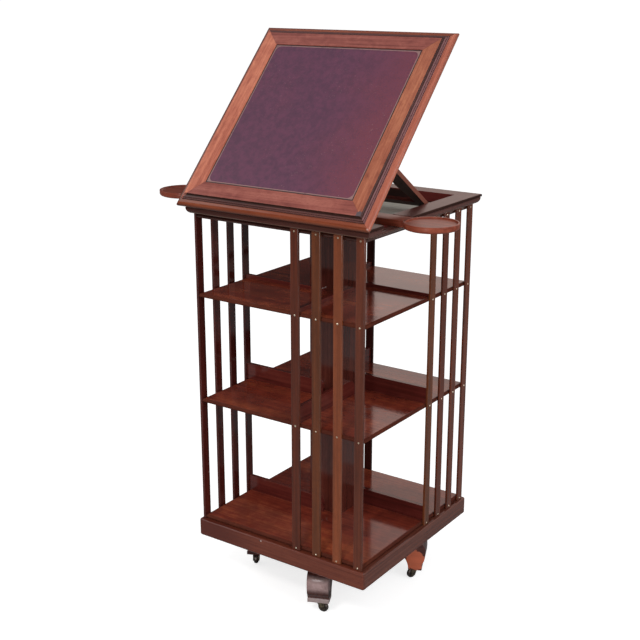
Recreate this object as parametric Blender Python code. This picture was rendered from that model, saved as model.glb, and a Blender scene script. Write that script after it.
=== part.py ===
"""Revolving bookcase with a rising reading slope, two candle slides and castors."""
import math

import bmesh
import bpy
from mathutils import Matrix, Vector

# Empty scene
for item in list(bpy.data.objects):
    bpy.data.objects.remove(item, do_unlink=True)

# General clearances
GAP = 0.0003
RUN_GAP = 0.0006
EASE = 0.001
JOIN = 0.003
CUT_PAST = 0.020

# Base
FLOOR_TO_PLINTH = 0.127
BASE_TURN = 24.0
BEAM_WIDTH = 0.052
BEAM_DEPTH = 0.032
BEAM_TO_PLINTH = 0.010
FOOT_REACH = 0.232
FOOT_LENGTH = 0.042
FOOT_BOTTOM = 0.030
FOOT_BULGE = 0.040
FOOT_WAIST = 0.0085
FOOT_LIP = 0.0105
FOOT_CREASE = 0.0025

# Castors
CASTOR_INSET = 0.028
CASTOR_TRAIL = 0.010
CASTOR_REST = (-115.0, 40.0, -60.0, 10.0)
WHEEL_RADIUS = 0.0125
WHEEL_WIDTH = 0.010
FORK_PLATE = 0.003
FORK_CHEEK = 0.0025
FORK_RADIUS = 0.012
STEM_RADIUS = 0.005
STEM_LENGTH = 0.022
AXLE_RADIUS = 0.002

# Spindle and bush
SPINDLE_RADIUS = 0.012
SPINDLE_RISE = 0.115
SPINDLE_FLANGE = 0.042
SPINDLE_FLANGE_THICK = 0.006
COLLAR_RADIUS = 0.022
SPINDLE_SUNK = 0.002
SPINDLE_EASE = 0.004
BUSH_WALL = 0.005
BUSH_FLANGE = 0.034
BUSH_FLANGE_THICK = 0.007
BUSH_LENGTH = 0.100

# Case
PLINTH_SIDE = 0.480
PLINTH_HEIGHT = 0.0428
PLINTH_WALL = 0.042
PLINTH_ROUND = 0.003
PLINTH_CORNER = 0.006
BOARD_THICK = 0.010
BOTTOM_TIER = 0.2932
MIDDLE_TIER = 0.2493
UPPER_TIER = 0.1769
COLUMN_SIDE = 0.088
COLUMN_WALL = 0.010

# Slats
SLAT_SETBACK = 0.0055
SLAT_WIDTH = 0.022
SLAT_THICK = 0.006
SLAT_PITCH = 0.0564
SLAT_EDGE = 0.0155
SLAT_COUNT = 4
SLAT_ROUND = 0.0012

# Divider rails
RAIL_THICK = 0.011
RAIL_HEIGHT = 0.039
RAIL_END_ROUND = 0.020
RAIL_PAST_CORNER = 0.044
BEAD_HEIGHT = 0.0085

# Top frame and cornice
TOP_RAIL = 0.0477
WELL_DEPTH = 0.0235
CORNICE_OUT = 0.0132
CORNICE_PLATE = 0.0055
CORNICE_QUIRK = 0.0015
CORNICE_STEP = 0.0022

# Candle slides
TRAY_RADIUS = 0.060
TRAY_RIM = 0.004
TRAY_DISH = 0.0035
SLIDE_THICK = 0.0147
ARM_WIDTH = 0.046
ARM_Y = -0.102
SLIDE_TRAVEL = 0.080
LEFT_PULLED = 0.065
STOP_LENGTH = 0.015
TRAY_TO_CORNICE = 0.0013
NOTCH_REAR_CLEAR = 0.001
NOTCH_FRONT_CLEAR = 0.066

# Reading slope
SLOPE_ANGLE = 46.7
SLOPE_SIDE_OUT = 0.0088
SLOPE_FRONT_OUT = 0.0105
SLOPE_REAR_OUT = 0.0073
SLOPE_THICK = 0.024
SLOPE_BORDER = 0.060
NOSING_WIDTH = 0.0135
NOSING_HEIGHT = 0.0165
FILLET_WIDTH = 0.0022
FILLET_STEP = 0.0015
HOLLOW_WIDTH = 0.0065
LEDGE_WIDTH = 0.008
LEDGE_THICK = 0.006
LEATHER_THICK = 0.0018
LEATHER_SUNK = 0.0012
SLOPE_LIFT = 0.0005

# Hinges
HINGE_FORWARD = 0.0008
HINGE_SPREAD = 0.170
HINGE_LENGTH = 0.050
HINGE_LEAF = 0.022
HINGE_LEAF_THICK = 0.0015
KNUCKLE_RADIUS = 0.003
PIN_RADIUS = 0.001

# Strut and ratchet strips
STRUT_PIVOT = 0.188
STRUT_DROP = 0.010
STRUT_END_CLEAR = 0.010
LEG_WIDTH = 0.036
LEG_FOOT_WIDTH = 0.018
LEG_TAPER_FROM = 0.135
LEG_THICK = 0.010
LEG_WALL_CLEAR = 0.004
STRUT_AXLE = 0.004
STRUT_FOOT = 0.0055
FOOT_CLEAR = 0.0009
LUG_SPREAD = 0.120
LUG_THICK = 0.012
LUG_WALL = 0.0045
BAR_DEPTH = 0.020
BAR_FROM_FOOT = 0.004
RACK_HEIGHT = 0.0067
RACK_WIDTH = 0.014
RACK_PITCH = 0.015
RACK_TOOTH = 0.004

# Levels worked out from the sizes
PLINTH_BOTTOM = FLOOR_TO_PLINTH
PLINTH_TOP = PLINTH_BOTTOM + PLINTH_HEIGHT
BOTTOM_BOARD = PLINTH_TOP + GAP
MIDDLE_BOARD = BOTTOM_BOARD + BOARD_THICK + BOTTOM_TIER
UPPER_BOARD = MIDDLE_BOARD + BOARD_THICK + MIDDLE_TIER
TOP_BOARD = UPPER_BOARD + BOARD_THICK + UPPER_TIER
WELL_FLOOR = TOP_BOARD + BOARD_THICK
FRAME_TOP = WELL_FLOOR + WELL_DEPTH
NOTCH_FLOOR = FRAME_TOP - SLIDE_THICK - 2.0 * GAP
SHOULDER = NOTCH_FLOOR + GAP
SLAT_TOP = NOTCH_FLOOR - GAP
BEAM_TOP = PLINTH_BOTTOM - BEAM_TO_PLINTH
BEAM_BOTTOM = BEAM_TOP - BEAM_DEPTH
CASTOR_REACH = FOOT_REACH - CASTOR_INSET

# Plan positions worked out from the sizes
SLAT_OUTER = PLINTH_SIDE / 2.0 - SLAT_SETBACK
SLAT_INNER = SLAT_OUTER - SLAT_THICK
BOARD_HALF = SLAT_INNER - GAP
CORNICE_HALF = SLAT_OUTER + CORNICE_OUT
WELL_HALF = CORNICE_HALF - TOP_RAIL
COLUMN_HALF = COLUMN_SIDE / 2.0
HINGE_Y = -CORNICE_HALF - HINGE_FORWARD
HINGE_Z = FRAME_TOP + SLOPE_LIFT
SLOPE_TURN = math.radians(SLOPE_ANGLE)
SLOPE_HALF = CORNICE_HALF + SLOPE_SIDE_OUT
SLOPE_FRONT = -SLOPE_FRONT_OUT
SLOPE_REAR = CORNICE_HALF + SLOPE_REAR_OUT - HINGE_Y

# Strut geometry
RACK_BOTTOM = WELL_FLOOR + GAP
RACK_TOP = RACK_BOTTOM + RACK_HEIGHT
STRUT_LENGTH = WELL_HALF - STRUT_END_CLEAR - STRUT_FOOT - HINGE_Y - STRUT_PIVOT
PIVOT_RISE = STRUT_PIVOT * math.sin(SLOPE_TURN) - STRUT_DROP * math.cos(SLOPE_TURN)
FOOT_Z = RACK_TOP + FOOT_CLEAR + STRUT_FOOT
STRUT_LEAN = math.asin((HINGE_Z + PIVOT_RISE - FOOT_Z) / STRUT_LENGTH)
STRUT_TURN = SLOPE_TURN + STRUT_LEAN
LEG_OUTER = WELL_HALF - LEG_WALL_CLEAR

# Colours of the pieces
MAHOGANY = (0.23, 0.085, 0.045)
LIGHT_MAHOGANY = (0.36, 0.15, 0.075)
DARK_MAHOGANY = (0.11, 0.04, 0.025)
LEATHER_RED = (0.20, 0.03, 0.03)
BRASS = (0.72, 0.54, 0.25)
STEEL = (0.30, 0.30, 0.31)
DARK_METAL = (0.12, 0.11, 0.10)


def material(name, colour, metallic, roughness):
    """Own material for one piece."""
    mat = bpy.data.materials.new(name)
    mat.use_nodes = True
    shader = mat.node_tree.nodes["Principled BSDF"]
    shader.inputs["Base Color"].default_value = (*colour, 1.0)
    shader.inputs["Metallic"].default_value = metallic
    shader.inputs["Roughness"].default_value = roughness
    return mat


def place(name, bm, colour, metallic=0.0, roughness=0.4, smooth=False, parent=None):
    """Turn a working mesh into a named piece."""
    bmesh.ops.recalc_face_normals(bm, faces=bm.faces)
    mesh = bpy.data.meshes.new(name)
    bm.to_mesh(mesh)
    bm.free()
    for poly in mesh.polygons:
        poly.use_smooth = smooth
    obj = bpy.data.objects.new(name, mesh)
    obj.data.materials.append(material("mat_" + name, colour, metallic, roughness))
    bpy.context.scene.collection.objects.link(obj)
    obj.parent = parent
    return obj


def pivot(name, location, rotation, parent=None):
    """Empty on a joint axis."""
    obj = bpy.data.objects.new(name, None)
    obj.location = location
    obj.rotation_euler = rotation
    bpy.context.scene.collection.objects.link(obj)
    obj.parent = parent
    return obj


def boolean(obj, bm, operation, name):
    """Cut from or join to a piece with a hidden tool body."""
    bmesh.ops.recalc_face_normals(bm, faces=bm.faces)
    mesh = bpy.data.meshes.new(name)
    bm.to_mesh(mesh)
    bm.free()
    tool = bpy.data.objects.new(name, mesh)
    tool.hide_render = True
    tool.display_type = "WIRE"
    bpy.context.scene.collection.objects.link(tool)
    tool.parent = obj.parent
    tool.location = obj.location
    tool.rotation_euler = obj.rotation_euler
    mod = obj.modifiers.new(name, "BOOLEAN")
    mod.operation = operation
    mod.solver = "EXACT"
    mod.object = tool


def add_box(bm, low, high):
    """Plain box between two corners."""
    size = Vector(high) - Vector(low)
    centre = (Vector(high) + Vector(low)) / 2.0
    matrix = Matrix.Translation(centre) @ Matrix.Diagonal((*size, 1.0))
    return bmesh.ops.create_cube(bm, size=1.0, matrix=matrix)["verts"]


def add_cylinder(bm, radius, start, end, segments=24):
    """Cylinder between two points."""
    start = Vector(start)
    end = Vector(end)
    turn = (end - start).to_track_quat("Z", "Y").to_matrix().to_4x4()
    matrix = Matrix.Translation((start + end) / 2.0) @ turn
    bmesh.ops.create_cone(
        bm,
        cap_ends=True,
        segments=segments,
        radius1=radius,
        radius2=radius,
        depth=(end - start).length,
        matrix=matrix,
    )


def add_prism(bm, outline, axis, low, high):
    """Outline of two coordinates pushed along one axis."""
    rings = []
    for level in (low, high):
        ring = []
        for first, second in outline:
            point = [first, second]
            point.insert(axis, level)
            ring.append(bm.verts.new(point))
        rings.append(ring)
    count = len(outline)
    bm.faces.new(rings[0])
    bm.faces.new(rings[1])
    for index in range(count):
        after = (index + 1) % count
        bm.faces.new((rings[0][index], rings[0][after], rings[1][after], rings[1][index]))


def add_loft(bm, half_x, half_y, sections):
    """Stack of rectangles, each drawn in by its own amount, closed at both ends."""
    rings = []
    for inset, level in sections:
        x = half_x - inset
        y = half_y - inset
        corners = ((-x, -y), (x, -y), (x, y), (-x, y))
        rings.append([bm.verts.new((a, b, level)) for a, b in corners])
    bm.faces.new(rings[0])
    bm.faces.new(rings[-1])
    for lower, upper in zip(rings, rings[1:]):
        for index in range(4):
            after = (index + 1) % 4
            bm.faces.new((lower[index], lower[after], upper[after], upper[index]))


def add_frame(bm, low, high, section):
    """Closed section of inset and height run round a rectangle with mitred corners."""
    rings = []
    for inset, level in section:
        corners = (
            (low[0] + inset, low[1] + inset),
            (high[0] - inset, low[1] + inset),
            (high[0] - inset, high[1] - inset),
            (low[0] + inset, high[1] - inset),
        )
        rings.append([bm.verts.new((a, b, level)) for a, b in corners])
    count = len(section)
    for step in range(count):
        lower = rings[step]
        upper = rings[(step + 1) % count]
        for index in range(4):
            after = (index + 1) % 4
            bm.faces.new((lower[index], lower[after], upper[after], upper[index]))


def add_round_frame(bm, half, corner, section, steps=4):
    """Closed section of inset and height run round a square with rounded outer corners."""
    rings = []
    for inset, level in section:
        radius = max(corner - inset, 0.0)
        middle = half - inset - radius
        ring = []
        for turn, x, y in ((0.0, 1.0, 1.0), (90.0, -1.0, 1.0), (180.0, -1.0, -1.0), (270.0, 1.0, -1.0)):
            spots = arc((x * middle, y * middle), (radius, radius), turn, turn + 90.0, steps)
            ring += [bm.verts.new((a, b, level)) for a, b in spots]
        rings.append(ring)
    count = len(section)
    for step in range(count):
        lower = rings[step]
        upper = rings[(step + 1) % count]
        for index in range(len(lower)):
            after = (index + 1) % len(lower)
            bm.faces.new((lower[index], lower[after], upper[after], upper[index]))
    bmesh.ops.remove_doubles(bm, verts=bm.verts, dist=GAP / 100.0)


def add_lathe(bm, section, segments=32):
    """Outline of radius and height turned about Z, closed on the axis or as a ring."""
    rings = []
    for radius, level in section:
        if radius < 1e-7:
            rings.append([bm.verts.new((0.0, 0.0, level))])
            continue
        ring = []
        for index in range(segments):
            turn = 2.0 * math.pi * index / segments
            ring.append(bm.verts.new((radius * math.cos(turn), radius * math.sin(turn), level)))
        rings.append(ring)
    pairs = list(zip(rings, rings[1:]))
    if len(rings[0]) > 1:
        pairs.append((rings[-1], rings[0]))
    for lower, upper in pairs:
        for index in range(segments):
            after = (index + 1) % segments
            if len(lower) == 1:
                bm.faces.new((lower[0], upper[after], upper[index]))
            elif len(upper) == 1:
                bm.faces.new((lower[index], lower[after], upper[0]))
            else:
                bm.faces.new((lower[index], lower[after], upper[after], upper[index]))


def round_edges(bm, width, segments=2):
    """Ease every edge of a plain body."""
    bmesh.ops.bevel(
        bm,
        geom=bm.edges[:],
        offset=width,
        segments=segments,
        profile=0.5,
        affect="EDGES",
        clamp_overlap=True,
    )


def arc(centre, radius, start, end, steps):
    """Points on an elliptical arc, angles in degrees."""
    points = []
    for index in range(steps + 1):
        turn = math.radians(start + (end - start) * index / steps)
        points.append((centre[0] + radius[0] * math.cos(turn), centre[1] + radius[1] * math.sin(turn)))
    return points


# Pivots of the moving groups
case_pivot = pivot("case_pivot", (0.0, 0.0, 0.0), (0.0, 0.0, 0.0))
slope_pivot = pivot("slope_pivot", (0.0, HINGE_Y, HINGE_Z), (SLOPE_TURN, 0.0, 0.0), case_pivot)
strut_place = (0.0, STRUT_PIVOT, -STRUT_DROP)
strut_pivot = pivot("strut_pivot", strut_place, (-STRUT_TURN, 0.0, 0.0), slope_pivot)


# Base beams
def beam_half():
    """Side outline of one end of a beam, from the top middle to the bottom middle."""
    front = FOOT_REACH
    back = FOOT_REACH - FOOT_LENGTH
    tall = BEAM_TOP - FOOT_BOTTOM
    widest = FOOT_BOTTOM + 0.59 * tall
    lip = front - FOOT_WAIST
    points = arc((front - FOOT_BULGE, widest), (FOOT_BULGE, BEAM_TOP - widest), 90.0, 0.0, 8)
    points += arc((lip, widest), (FOOT_WAIST, 0.37 * tall), -15.0, -75.0, 4)
    points.append((lip - FOOT_CREASE, FOOT_BOTTOM + FOOT_LIP))
    points.append((lip, FOOT_BOTTOM + 0.8 * FOOT_LIP))
    points.append((lip, FOOT_BOTTOM + EASE))
    points.append((lip - EASE, FOOT_BOTTOM))
    points.append((back, FOOT_BOTTOM))
    rise = BEAM_BOTTOM - FOOT_BOTTOM
    points += arc((back - rise, FOOT_BOTTOM), (rise, rise), 12.0, 90.0, 7)
    return points


def beam(name, turn, lap_on_top):
    """One beam with a foot at each end, halved over the other."""
    lap = BEAM_WIDTH / 2.0 + GAP
    middle = (BEAM_TOP + BEAM_BOTTOM) / 2.0
    right = beam_half()
    left = [(-a, b) for a, b in reversed(right)]
    if lap_on_top:
        level = middle - GAP / 2.0
        top = [(-lap, BEAM_TOP), (-lap, level), (lap, level), (lap, BEAM_TOP)]
        outline = top + right + left
    else:
        level = middle + GAP / 2.0
        low = [(lap, BEAM_BOTTOM), (lap, level), (-lap, level), (-lap, BEAM_BOTTOM)]
        outline = right + low + left
    bm = bmesh.new()
    add_prism(bm, outline, 1, -BEAM_WIDTH / 2.0, BEAM_WIDTH / 2.0)
    obj = place(name, bm, DARK_MAHOGANY, roughness=0.35)
    obj.rotation_euler = (0.0, 0.0, math.radians(turn))
    cutter = bmesh.new()
    add_cylinder(cutter, SPINDLE_RADIUS + GAP, (0.0, 0.0, BEAM_BOTTOM - CUT_PAST),
                 (0.0, 0.0, BEAM_TOP + CUT_PAST))
    for side in (-1.0, 1.0):
        bore = FOOT_BOTTOM + STEM_LENGTH + 2.0 * GAP
        start = (side * CASTOR_REACH, 0.0, FOOT_BOTTOM - CUT_PAST)
        add_cylinder(cutter, STEM_RADIUS + GAP, start, (side * CASTOR_REACH, 0.0, bore), 16)
    boolean(obj, cutter, "DIFFERENCE", "bores_" + name)
    return obj


beam("base_beam_front_back", BASE_TURN - 90.0, True)
beam("base_beam_left_right", BASE_TURN, False)

# Spindle
bush_bottom = BOTTOM_BOARD - GAP - BUSH_FLANGE_THICK
spindle_top = BOTTOM_BOARD + BOARD_THICK + SPINDLE_RISE
bm = bmesh.new()
flange_low = BEAM_TOP + GAP
flange_high = flange_low + SPINDLE_FLANGE_THICK
add_lathe(bm, [
    (0.0, BEAM_BOTTOM + SPINDLE_SUNK),
    (SPINDLE_RADIUS, BEAM_BOTTOM + SPINDLE_SUNK),
    (SPINDLE_RADIUS, flange_low),
    (SPINDLE_FLANGE, flange_low),
    (SPINDLE_FLANGE, flange_high),
    (COLLAR_RADIUS, flange_high + SPINDLE_EASE),
    (COLLAR_RADIUS, bush_bottom - GAP),
    (SPINDLE_RADIUS, bush_bottom - GAP),
    (SPINDLE_RADIUS, spindle_top - SPINDLE_EASE),
    (SPINDLE_RADIUS - SPINDLE_EASE, spindle_top),
    (0.0, spindle_top),
], 32)
place("spindle", bm, STEEL, 1.0, 0.4, smooth=True)

# Castors
fork_top = FOOT_BOTTOM - GAP
fork_low = fork_top - FORK_PLATE
cheek_inner = WHEEL_WIDTH / 2.0 + RUN_GAP
cheek_outer = cheek_inner + FORK_CHEEK
for number, turn in enumerate((0.0, 90.0, 180.0, 270.0), start=1):
    heading = math.radians(BASE_TURN + turn)
    spot = (CASTOR_REACH * math.cos(heading), CASTOR_REACH * math.sin(heading), 0.0)
    rest = math.radians(CASTOR_REST[number - 1])
    swivel = pivot("castor_swivel_%d" % number, spot, (0.0, 0.0, rest))
    bm = bmesh.new()
    add_lathe(bm, [
        (0.0, fork_low),
        (FORK_RADIUS, fork_low),
        (FORK_RADIUS, fork_top),
        (STEM_RADIUS, fork_top),
        (STEM_RADIUS, fork_top + STEM_LENGTH),
        (0.0, fork_top + STEM_LENGTH),
    ], 24)
    fork = place("castor_fork_%d" % number, bm, BRASS, 1.0, 0.35, parent=swivel)
    for side in (-1.0, 1.0):
        cheek = bmesh.new()
        low = min(side * cheek_inner, side * cheek_outer)
        high = max(side * cheek_inner, side * cheek_outer)
        reach = CASTOR_TRAIL + 2.5 * AXLE_RADIUS
        drop = WHEEL_RADIUS - 2.5 * AXLE_RADIUS
        outline = [
            (-0.4 * FORK_RADIUS, fork_low + FORK_PLATE / 2.0),
            (CASTOR_TRAIL - 2.5 * AXLE_RADIUS, drop),
            (reach, drop),
            (reach, fork_low + FORK_PLATE / 2.0),
        ]
        add_prism(cheek, outline, 1, low, high)
        boolean(fork, cheek, "UNION", "cheek_%d_%s" % (number, "a" if side < 0.0 else "b"))
    hole = bmesh.new()
    start = (CASTOR_TRAIL, -cheek_outer - CUT_PAST, WHEEL_RADIUS)
    add_cylinder(hole, AXLE_RADIUS + GAP, start, (CASTOR_TRAIL, cheek_outer + CUT_PAST, WHEEL_RADIUS), 16)
    boolean(fork, hole, "DIFFERENCE", "axle_hole_%d" % number)
    axle_place = (CASTOR_TRAIL, 0.0, WHEEL_RADIUS)
    axle = pivot("castor_axle_%d" % number, axle_place, (math.pi / 2.0, 0.0, 0.0), swivel)
    bm = bmesh.new()
    half = WHEEL_WIDTH / 2.0
    add_lathe(bm, [
        (0.0, -cheek_outer),
        (AXLE_RADIUS, -cheek_outer),
        (AXLE_RADIUS, -half),
        (0.8 * WHEEL_RADIUS, -half),
        (WHEEL_RADIUS, -0.5 * half),
        (WHEEL_RADIUS, 0.5 * half),
        (0.8 * WHEEL_RADIUS, half),
        (AXLE_RADIUS, half),
        (AXLE_RADIUS, cheek_outer),
        (0.0, cheek_outer),
    ], 32)
    place("castor_wheel_%d" % number, bm, DARK_METAL, 0.6, 0.5, smooth=True, parent=axle)

# Plinth
bm = bmesh.new()
plinth_half = PLINTH_SIDE / 2.0
section = [(0.0, PLINTH_BOTTOM + PLINTH_ROUND)]
section += [(PLINTH_ROUND - a, PLINTH_TOP - PLINTH_ROUND + b)
            for a, b in arc((0.0, 0.0), (PLINTH_ROUND, PLINTH_ROUND), 0.0, 90.0, 3)]
section += [(PLINTH_WALL, PLINTH_TOP), (PLINTH_WALL, PLINTH_BOTTOM), (PLINTH_ROUND, PLINTH_BOTTOM)]
add_round_frame(bm, plinth_half, PLINTH_CORNER, section)
place("plinth", bm, MAHOGANY, parent=case_pivot)


# Boards
def board_section(level):
    """Rounded edge of a board, from its underside to its top."""
    radius = BOARD_THICK / 2.0
    points = arc((radius, level + radius), (radius, radius), -90.0, -270.0, 6)
    return [(a, b) for a, b in points]


bm = bmesh.new()
add_loft(bm, BOARD_HALF, BOARD_HALF, board_section(BOTTOM_BOARD))
bottom_board = place("bottom_board", bm, MAHOGANY, parent=case_pivot)
cutter = bmesh.new()
bush_radius = SPINDLE_RADIUS + RUN_GAP + BUSH_WALL
add_cylinder(cutter, bush_radius + GAP, (0.0, 0.0, BOTTOM_BOARD - CUT_PAST),
             (0.0, 0.0, BOTTOM_BOARD + BOARD_THICK + CUT_PAST), 32)
boolean(bottom_board, cutter, "DIFFERENCE", "bush_hole")

column_hole = BOARD_HALF - COLUMN_HALF - GAP
for name, level in (("middle_board", MIDDLE_BOARD), ("upper_board", UPPER_BOARD)):
    bm = bmesh.new()
    section = board_section(level)
    section += [(column_hole, level + BOARD_THICK), (column_hole, level)]
    add_frame(bm, (-BOARD_HALF, -BOARD_HALF), (BOARD_HALF, BOARD_HALF), section)
    place(name, bm, MAHOGANY, parent=case_pivot)

bm = bmesh.new()
add_loft(bm, BOARD_HALF, BOARD_HALF, board_section(TOP_BOARD))
place("top_board", bm, MAHOGANY, parent=case_pivot)

# Bush
bm = bmesh.new()
bush_bore = SPINDLE_RADIUS + RUN_GAP
bush_top = BOTTOM_BOARD + BOARD_THICK + BUSH_LENGTH
add_lathe(bm, [
    (bush_bore, bush_bottom),
    (BUSH_FLANGE, bush_bottom),
    (BUSH_FLANGE, bush_bottom + BUSH_FLANGE_THICK),
    (bush_radius, bush_bottom + BUSH_FLANGE_THICK),
    (bush_radius, bush_top),
    (bush_bore, bush_top),
], 32)
place("spindle_bush", bm, BRASS, 1.0, 0.35, smooth=True, parent=case_pivot)

# Column
bm = bmesh.new()
column_low = BOTTOM_BOARD + BOARD_THICK + GAP
column_high = TOP_BOARD - GAP
add_frame(bm, (-COLUMN_HALF, -COLUMN_HALF), (COLUMN_HALF, COLUMN_HALF), [
    (0.0, column_low),
    (0.0, column_high),
    (COLUMN_WALL, column_high),
    (COLUMN_WALL, column_low),
])
place("column", bm, DARK_MAHOGANY, parent=case_pivot)

# Slats
FACES = (("a", 0.0), ("b", 90.0), ("c", 180.0), ("d", 270.0))
slat_low = PLINTH_TOP + GAP
for face, turn in FACES:
    for index in range(SLAT_COUNT):
        middle = SLAT_OUTER - SLAT_EDGE - index * SLAT_PITCH
        bm = bmesh.new()
        low = (middle - SLAT_WIDTH / 2.0, -SLAT_OUTER, slat_low)
        add_box(bm, low, (middle + SLAT_WIDTH / 2.0, -SLAT_INNER, SLAT_TOP))
        round_edges(bm, SLAT_ROUND)
        name = "slat_%s_%d" % (face, index + 1)
        slat = place(name, bm, LIGHT_MAHOGANY, parent=case_pivot)
        slat.rotation_euler = (0.0, 0.0, math.radians(turn))

# Divider rails and beads
TIERS = (
    ("bottom", BOTTOM_BOARD, RAIL_HEIGHT, ("a", "c")),
    ("middle", MIDDLE_BOARD, RAIL_HEIGHT, ("a", "b", "c", "d")),
    ("upper", UPPER_BOARD, BEAD_HEIGHT, ("a", "b", "c", "d")),
)
rail_near = COLUMN_HALF + GAP
rail_end = -COLUMN_HALF + RAIL_PAST_CORNER
for tier, board, height, kept in TIERS:
    floor = board + BOARD_THICK + GAP
    radius = min(RAIL_END_ROUND, 0.9 * height)
    for face, turn in FACES:
        if face not in kept:
            continue
        outline = [(-BOARD_HALF, floor), (rail_end, floor)]
        outline += arc((rail_end - radius, floor + height - radius), (radius, radius), 0.0, 90.0, 6)
        outline.append((-BOARD_HALF, floor + height))
        bm = bmesh.new()
        add_prism(bm, outline, 1, -rail_near - RAIL_THICK, -rail_near)
        rail = place("rail_%s_%s" % (tier, face), bm, MAHOGANY, parent=case_pivot)
        rail.rotation_euler = (0.0, 0.0, math.radians(turn))

# Top frame with the cornice
bm = bmesh.new()
frieze = CORNICE_HALF - BOARD_HALF
drop = CORNICE_OUT - GAP
plate_low = FRAME_TOP - CORNICE_PLATE
ovolo_top = plate_low - CORNICE_QUIRK
frame_low = WELL_FLOOR + GAP
section = [(frieze, frame_low), (frieze, SHOULDER)]
section += arc((drop, ovolo_top), (drop - CORNICE_STEP, ovolo_top - SHOULDER), 270.0, 180.0, 5)
section += [
    (2.0 * CORNICE_STEP, ovolo_top),
    (2.0 * CORNICE_STEP, plate_low),
    (0.0, plate_low),
    (0.0, FRAME_TOP - EASE),
    (EASE, FRAME_TOP),
    (TOP_RAIL, FRAME_TOP),
    (TOP_RAIL, frame_low),
]
add_frame(bm, (-CORNICE_HALF, -CORNICE_HALF), (CORNICE_HALF, CORNICE_HALF), section)
top_frame = place("top_frame", bm, MAHOGANY, parent=case_pivot)
cutter = bmesh.new()
notch_low = ARM_Y - ARM_WIDTH / 2.0 - NOTCH_FRONT_CLEAR
notch_high = ARM_Y + ARM_WIDTH / 2.0 + NOTCH_REAR_CLEAR
for side in (-1.0, 1.0):
    ends = sorted((side * (WELL_HALF - CUT_PAST), side * (CORNICE_HALF + CUT_PAST)))
    add_box(cutter, (ends[0], notch_low, NOTCH_FLOOR), (ends[1], notch_high, FRAME_TOP + CUT_PAST))
    middle = side * HINGE_SPREAD
    half = HINGE_LENGTH / 2.0 + GAP
    leaf_back = HINGE_Y + HINGE_LEAF + GAP
    leaf_low = FRAME_TOP - HINGE_LEAF_THICK - 2.0 * GAP
    outline = [
        (-CORNICE_HALF - CUT_PAST, FRAME_TOP + CUT_PAST),
        (-CORNICE_HALF - CUT_PAST, HINGE_Z - KNUCKLE_RADIUS - RUN_GAP),
        (HINGE_Y + KNUCKLE_RADIUS + RUN_GAP, HINGE_Z - KNUCKLE_RADIUS - RUN_GAP),
        (HINGE_Y + KNUCKLE_RADIUS + RUN_GAP, leaf_low),
        (leaf_back, leaf_low),
        (leaf_back, FRAME_TOP + CUT_PAST),
    ]
    add_prism(cutter, outline, 0, middle - half, middle + half)
boolean(top_frame, cutter, "DIFFERENCE", "top_frame_notches")

# Ratchet strips
rack_middle = LEG_OUTER - RACK_WIDTH / 2.0
rack_front = 0.0
rack_rear = WELL_HALF - STRUT_END_CLEAR / 2.0
teeth = round((rack_rear - rack_front) / RACK_PITCH) - 1
for name, side in (("ratchet_strip_left", -1.0), ("ratchet_strip_right", 1.0)):
    outline = [(rack_front, RACK_BOTTOM), (rack_rear, RACK_BOTTOM), (rack_rear, RACK_TOP)]
    for index in range(teeth, 0, -1):
        tip = rack_front + index * RACK_PITCH
        outline.append((tip, RACK_TOP))
        outline.append((tip, RACK_TOP - RACK_TOOTH))
        outline.append((tip - 0.5 * RACK_PITCH, RACK_TOP))
    outline.append((rack_front, RACK_TOP))
    bm = bmesh.new()
    middle = side * rack_middle
    add_prism(bm, outline, 0, middle - RACK_WIDTH / 2.0, middle + RACK_WIDTH / 2.0)
    place(name, bm, DARK_MAHOGANY, parent=case_pivot)

# Candle slides
slide_low = NOTCH_FLOOR + GAP
slide_high = slide_low + SLIDE_THICK
tray_x = CORNICE_HALF + TRAY_TO_CORNICE + TRAY_RADIUS
arm_end = tray_x - (WELL_HALF - GAP - SLIDE_TRAVEL - STOP_LENGTH)
for name, side, pulled in (("candle_slide_left", -1.0, LEFT_PULLED), ("candle_slide_right", 1.0, 0.0)):
    bm = bmesh.new()
    edge = 0.35 * SLIDE_THICK
    section = [(0.0, slide_low), (TRAY_RADIUS - edge, slide_low)]
    section += arc((TRAY_RADIUS - edge, slide_low + edge), (edge, edge), -60.0, 0.0, 3)
    section += [
        (TRAY_RADIUS, slide_high - EASE),
        (TRAY_RADIUS - EASE, slide_high),
        (TRAY_RADIUS - TRAY_RIM, slide_high),
        (TRAY_RADIUS - 2.0 * TRAY_RIM, slide_high - TRAY_DISH),
        (0.0, slide_high - TRAY_DISH),
    ]
    add_lathe(bm, section, 48)
    slide = place(name, bm, MAHOGANY, smooth=False, parent=case_pivot)
    slide.location = (side * (tray_x + pulled), ARM_Y, 0.0)
    arm = bmesh.new()
    start = TRAY_RADIUS - 2.0 * TRAY_RIM
    ends = sorted((-side * start, -side * arm_end))
    add_box(arm, (ends[0], -ARM_WIDTH / 2.0, slide_low), (ends[1], ARM_WIDTH / 2.0, slide_high))
    boolean(slide, arm, "UNION", "arm_" + name)
    stop = bmesh.new()
    ends = sorted((-side * arm_end, -side * (arm_end - STOP_LENGTH)))
    stop_low = WELL_FLOOR + 2.0 * GAP
    add_box(stop, (ends[0], -ARM_WIDTH / 2.0, stop_low), (ends[1], ARM_WIDTH / 2.0, slide_low + JOIN))
    boolean(slide, stop, "UNION", "stop_" + name)

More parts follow.
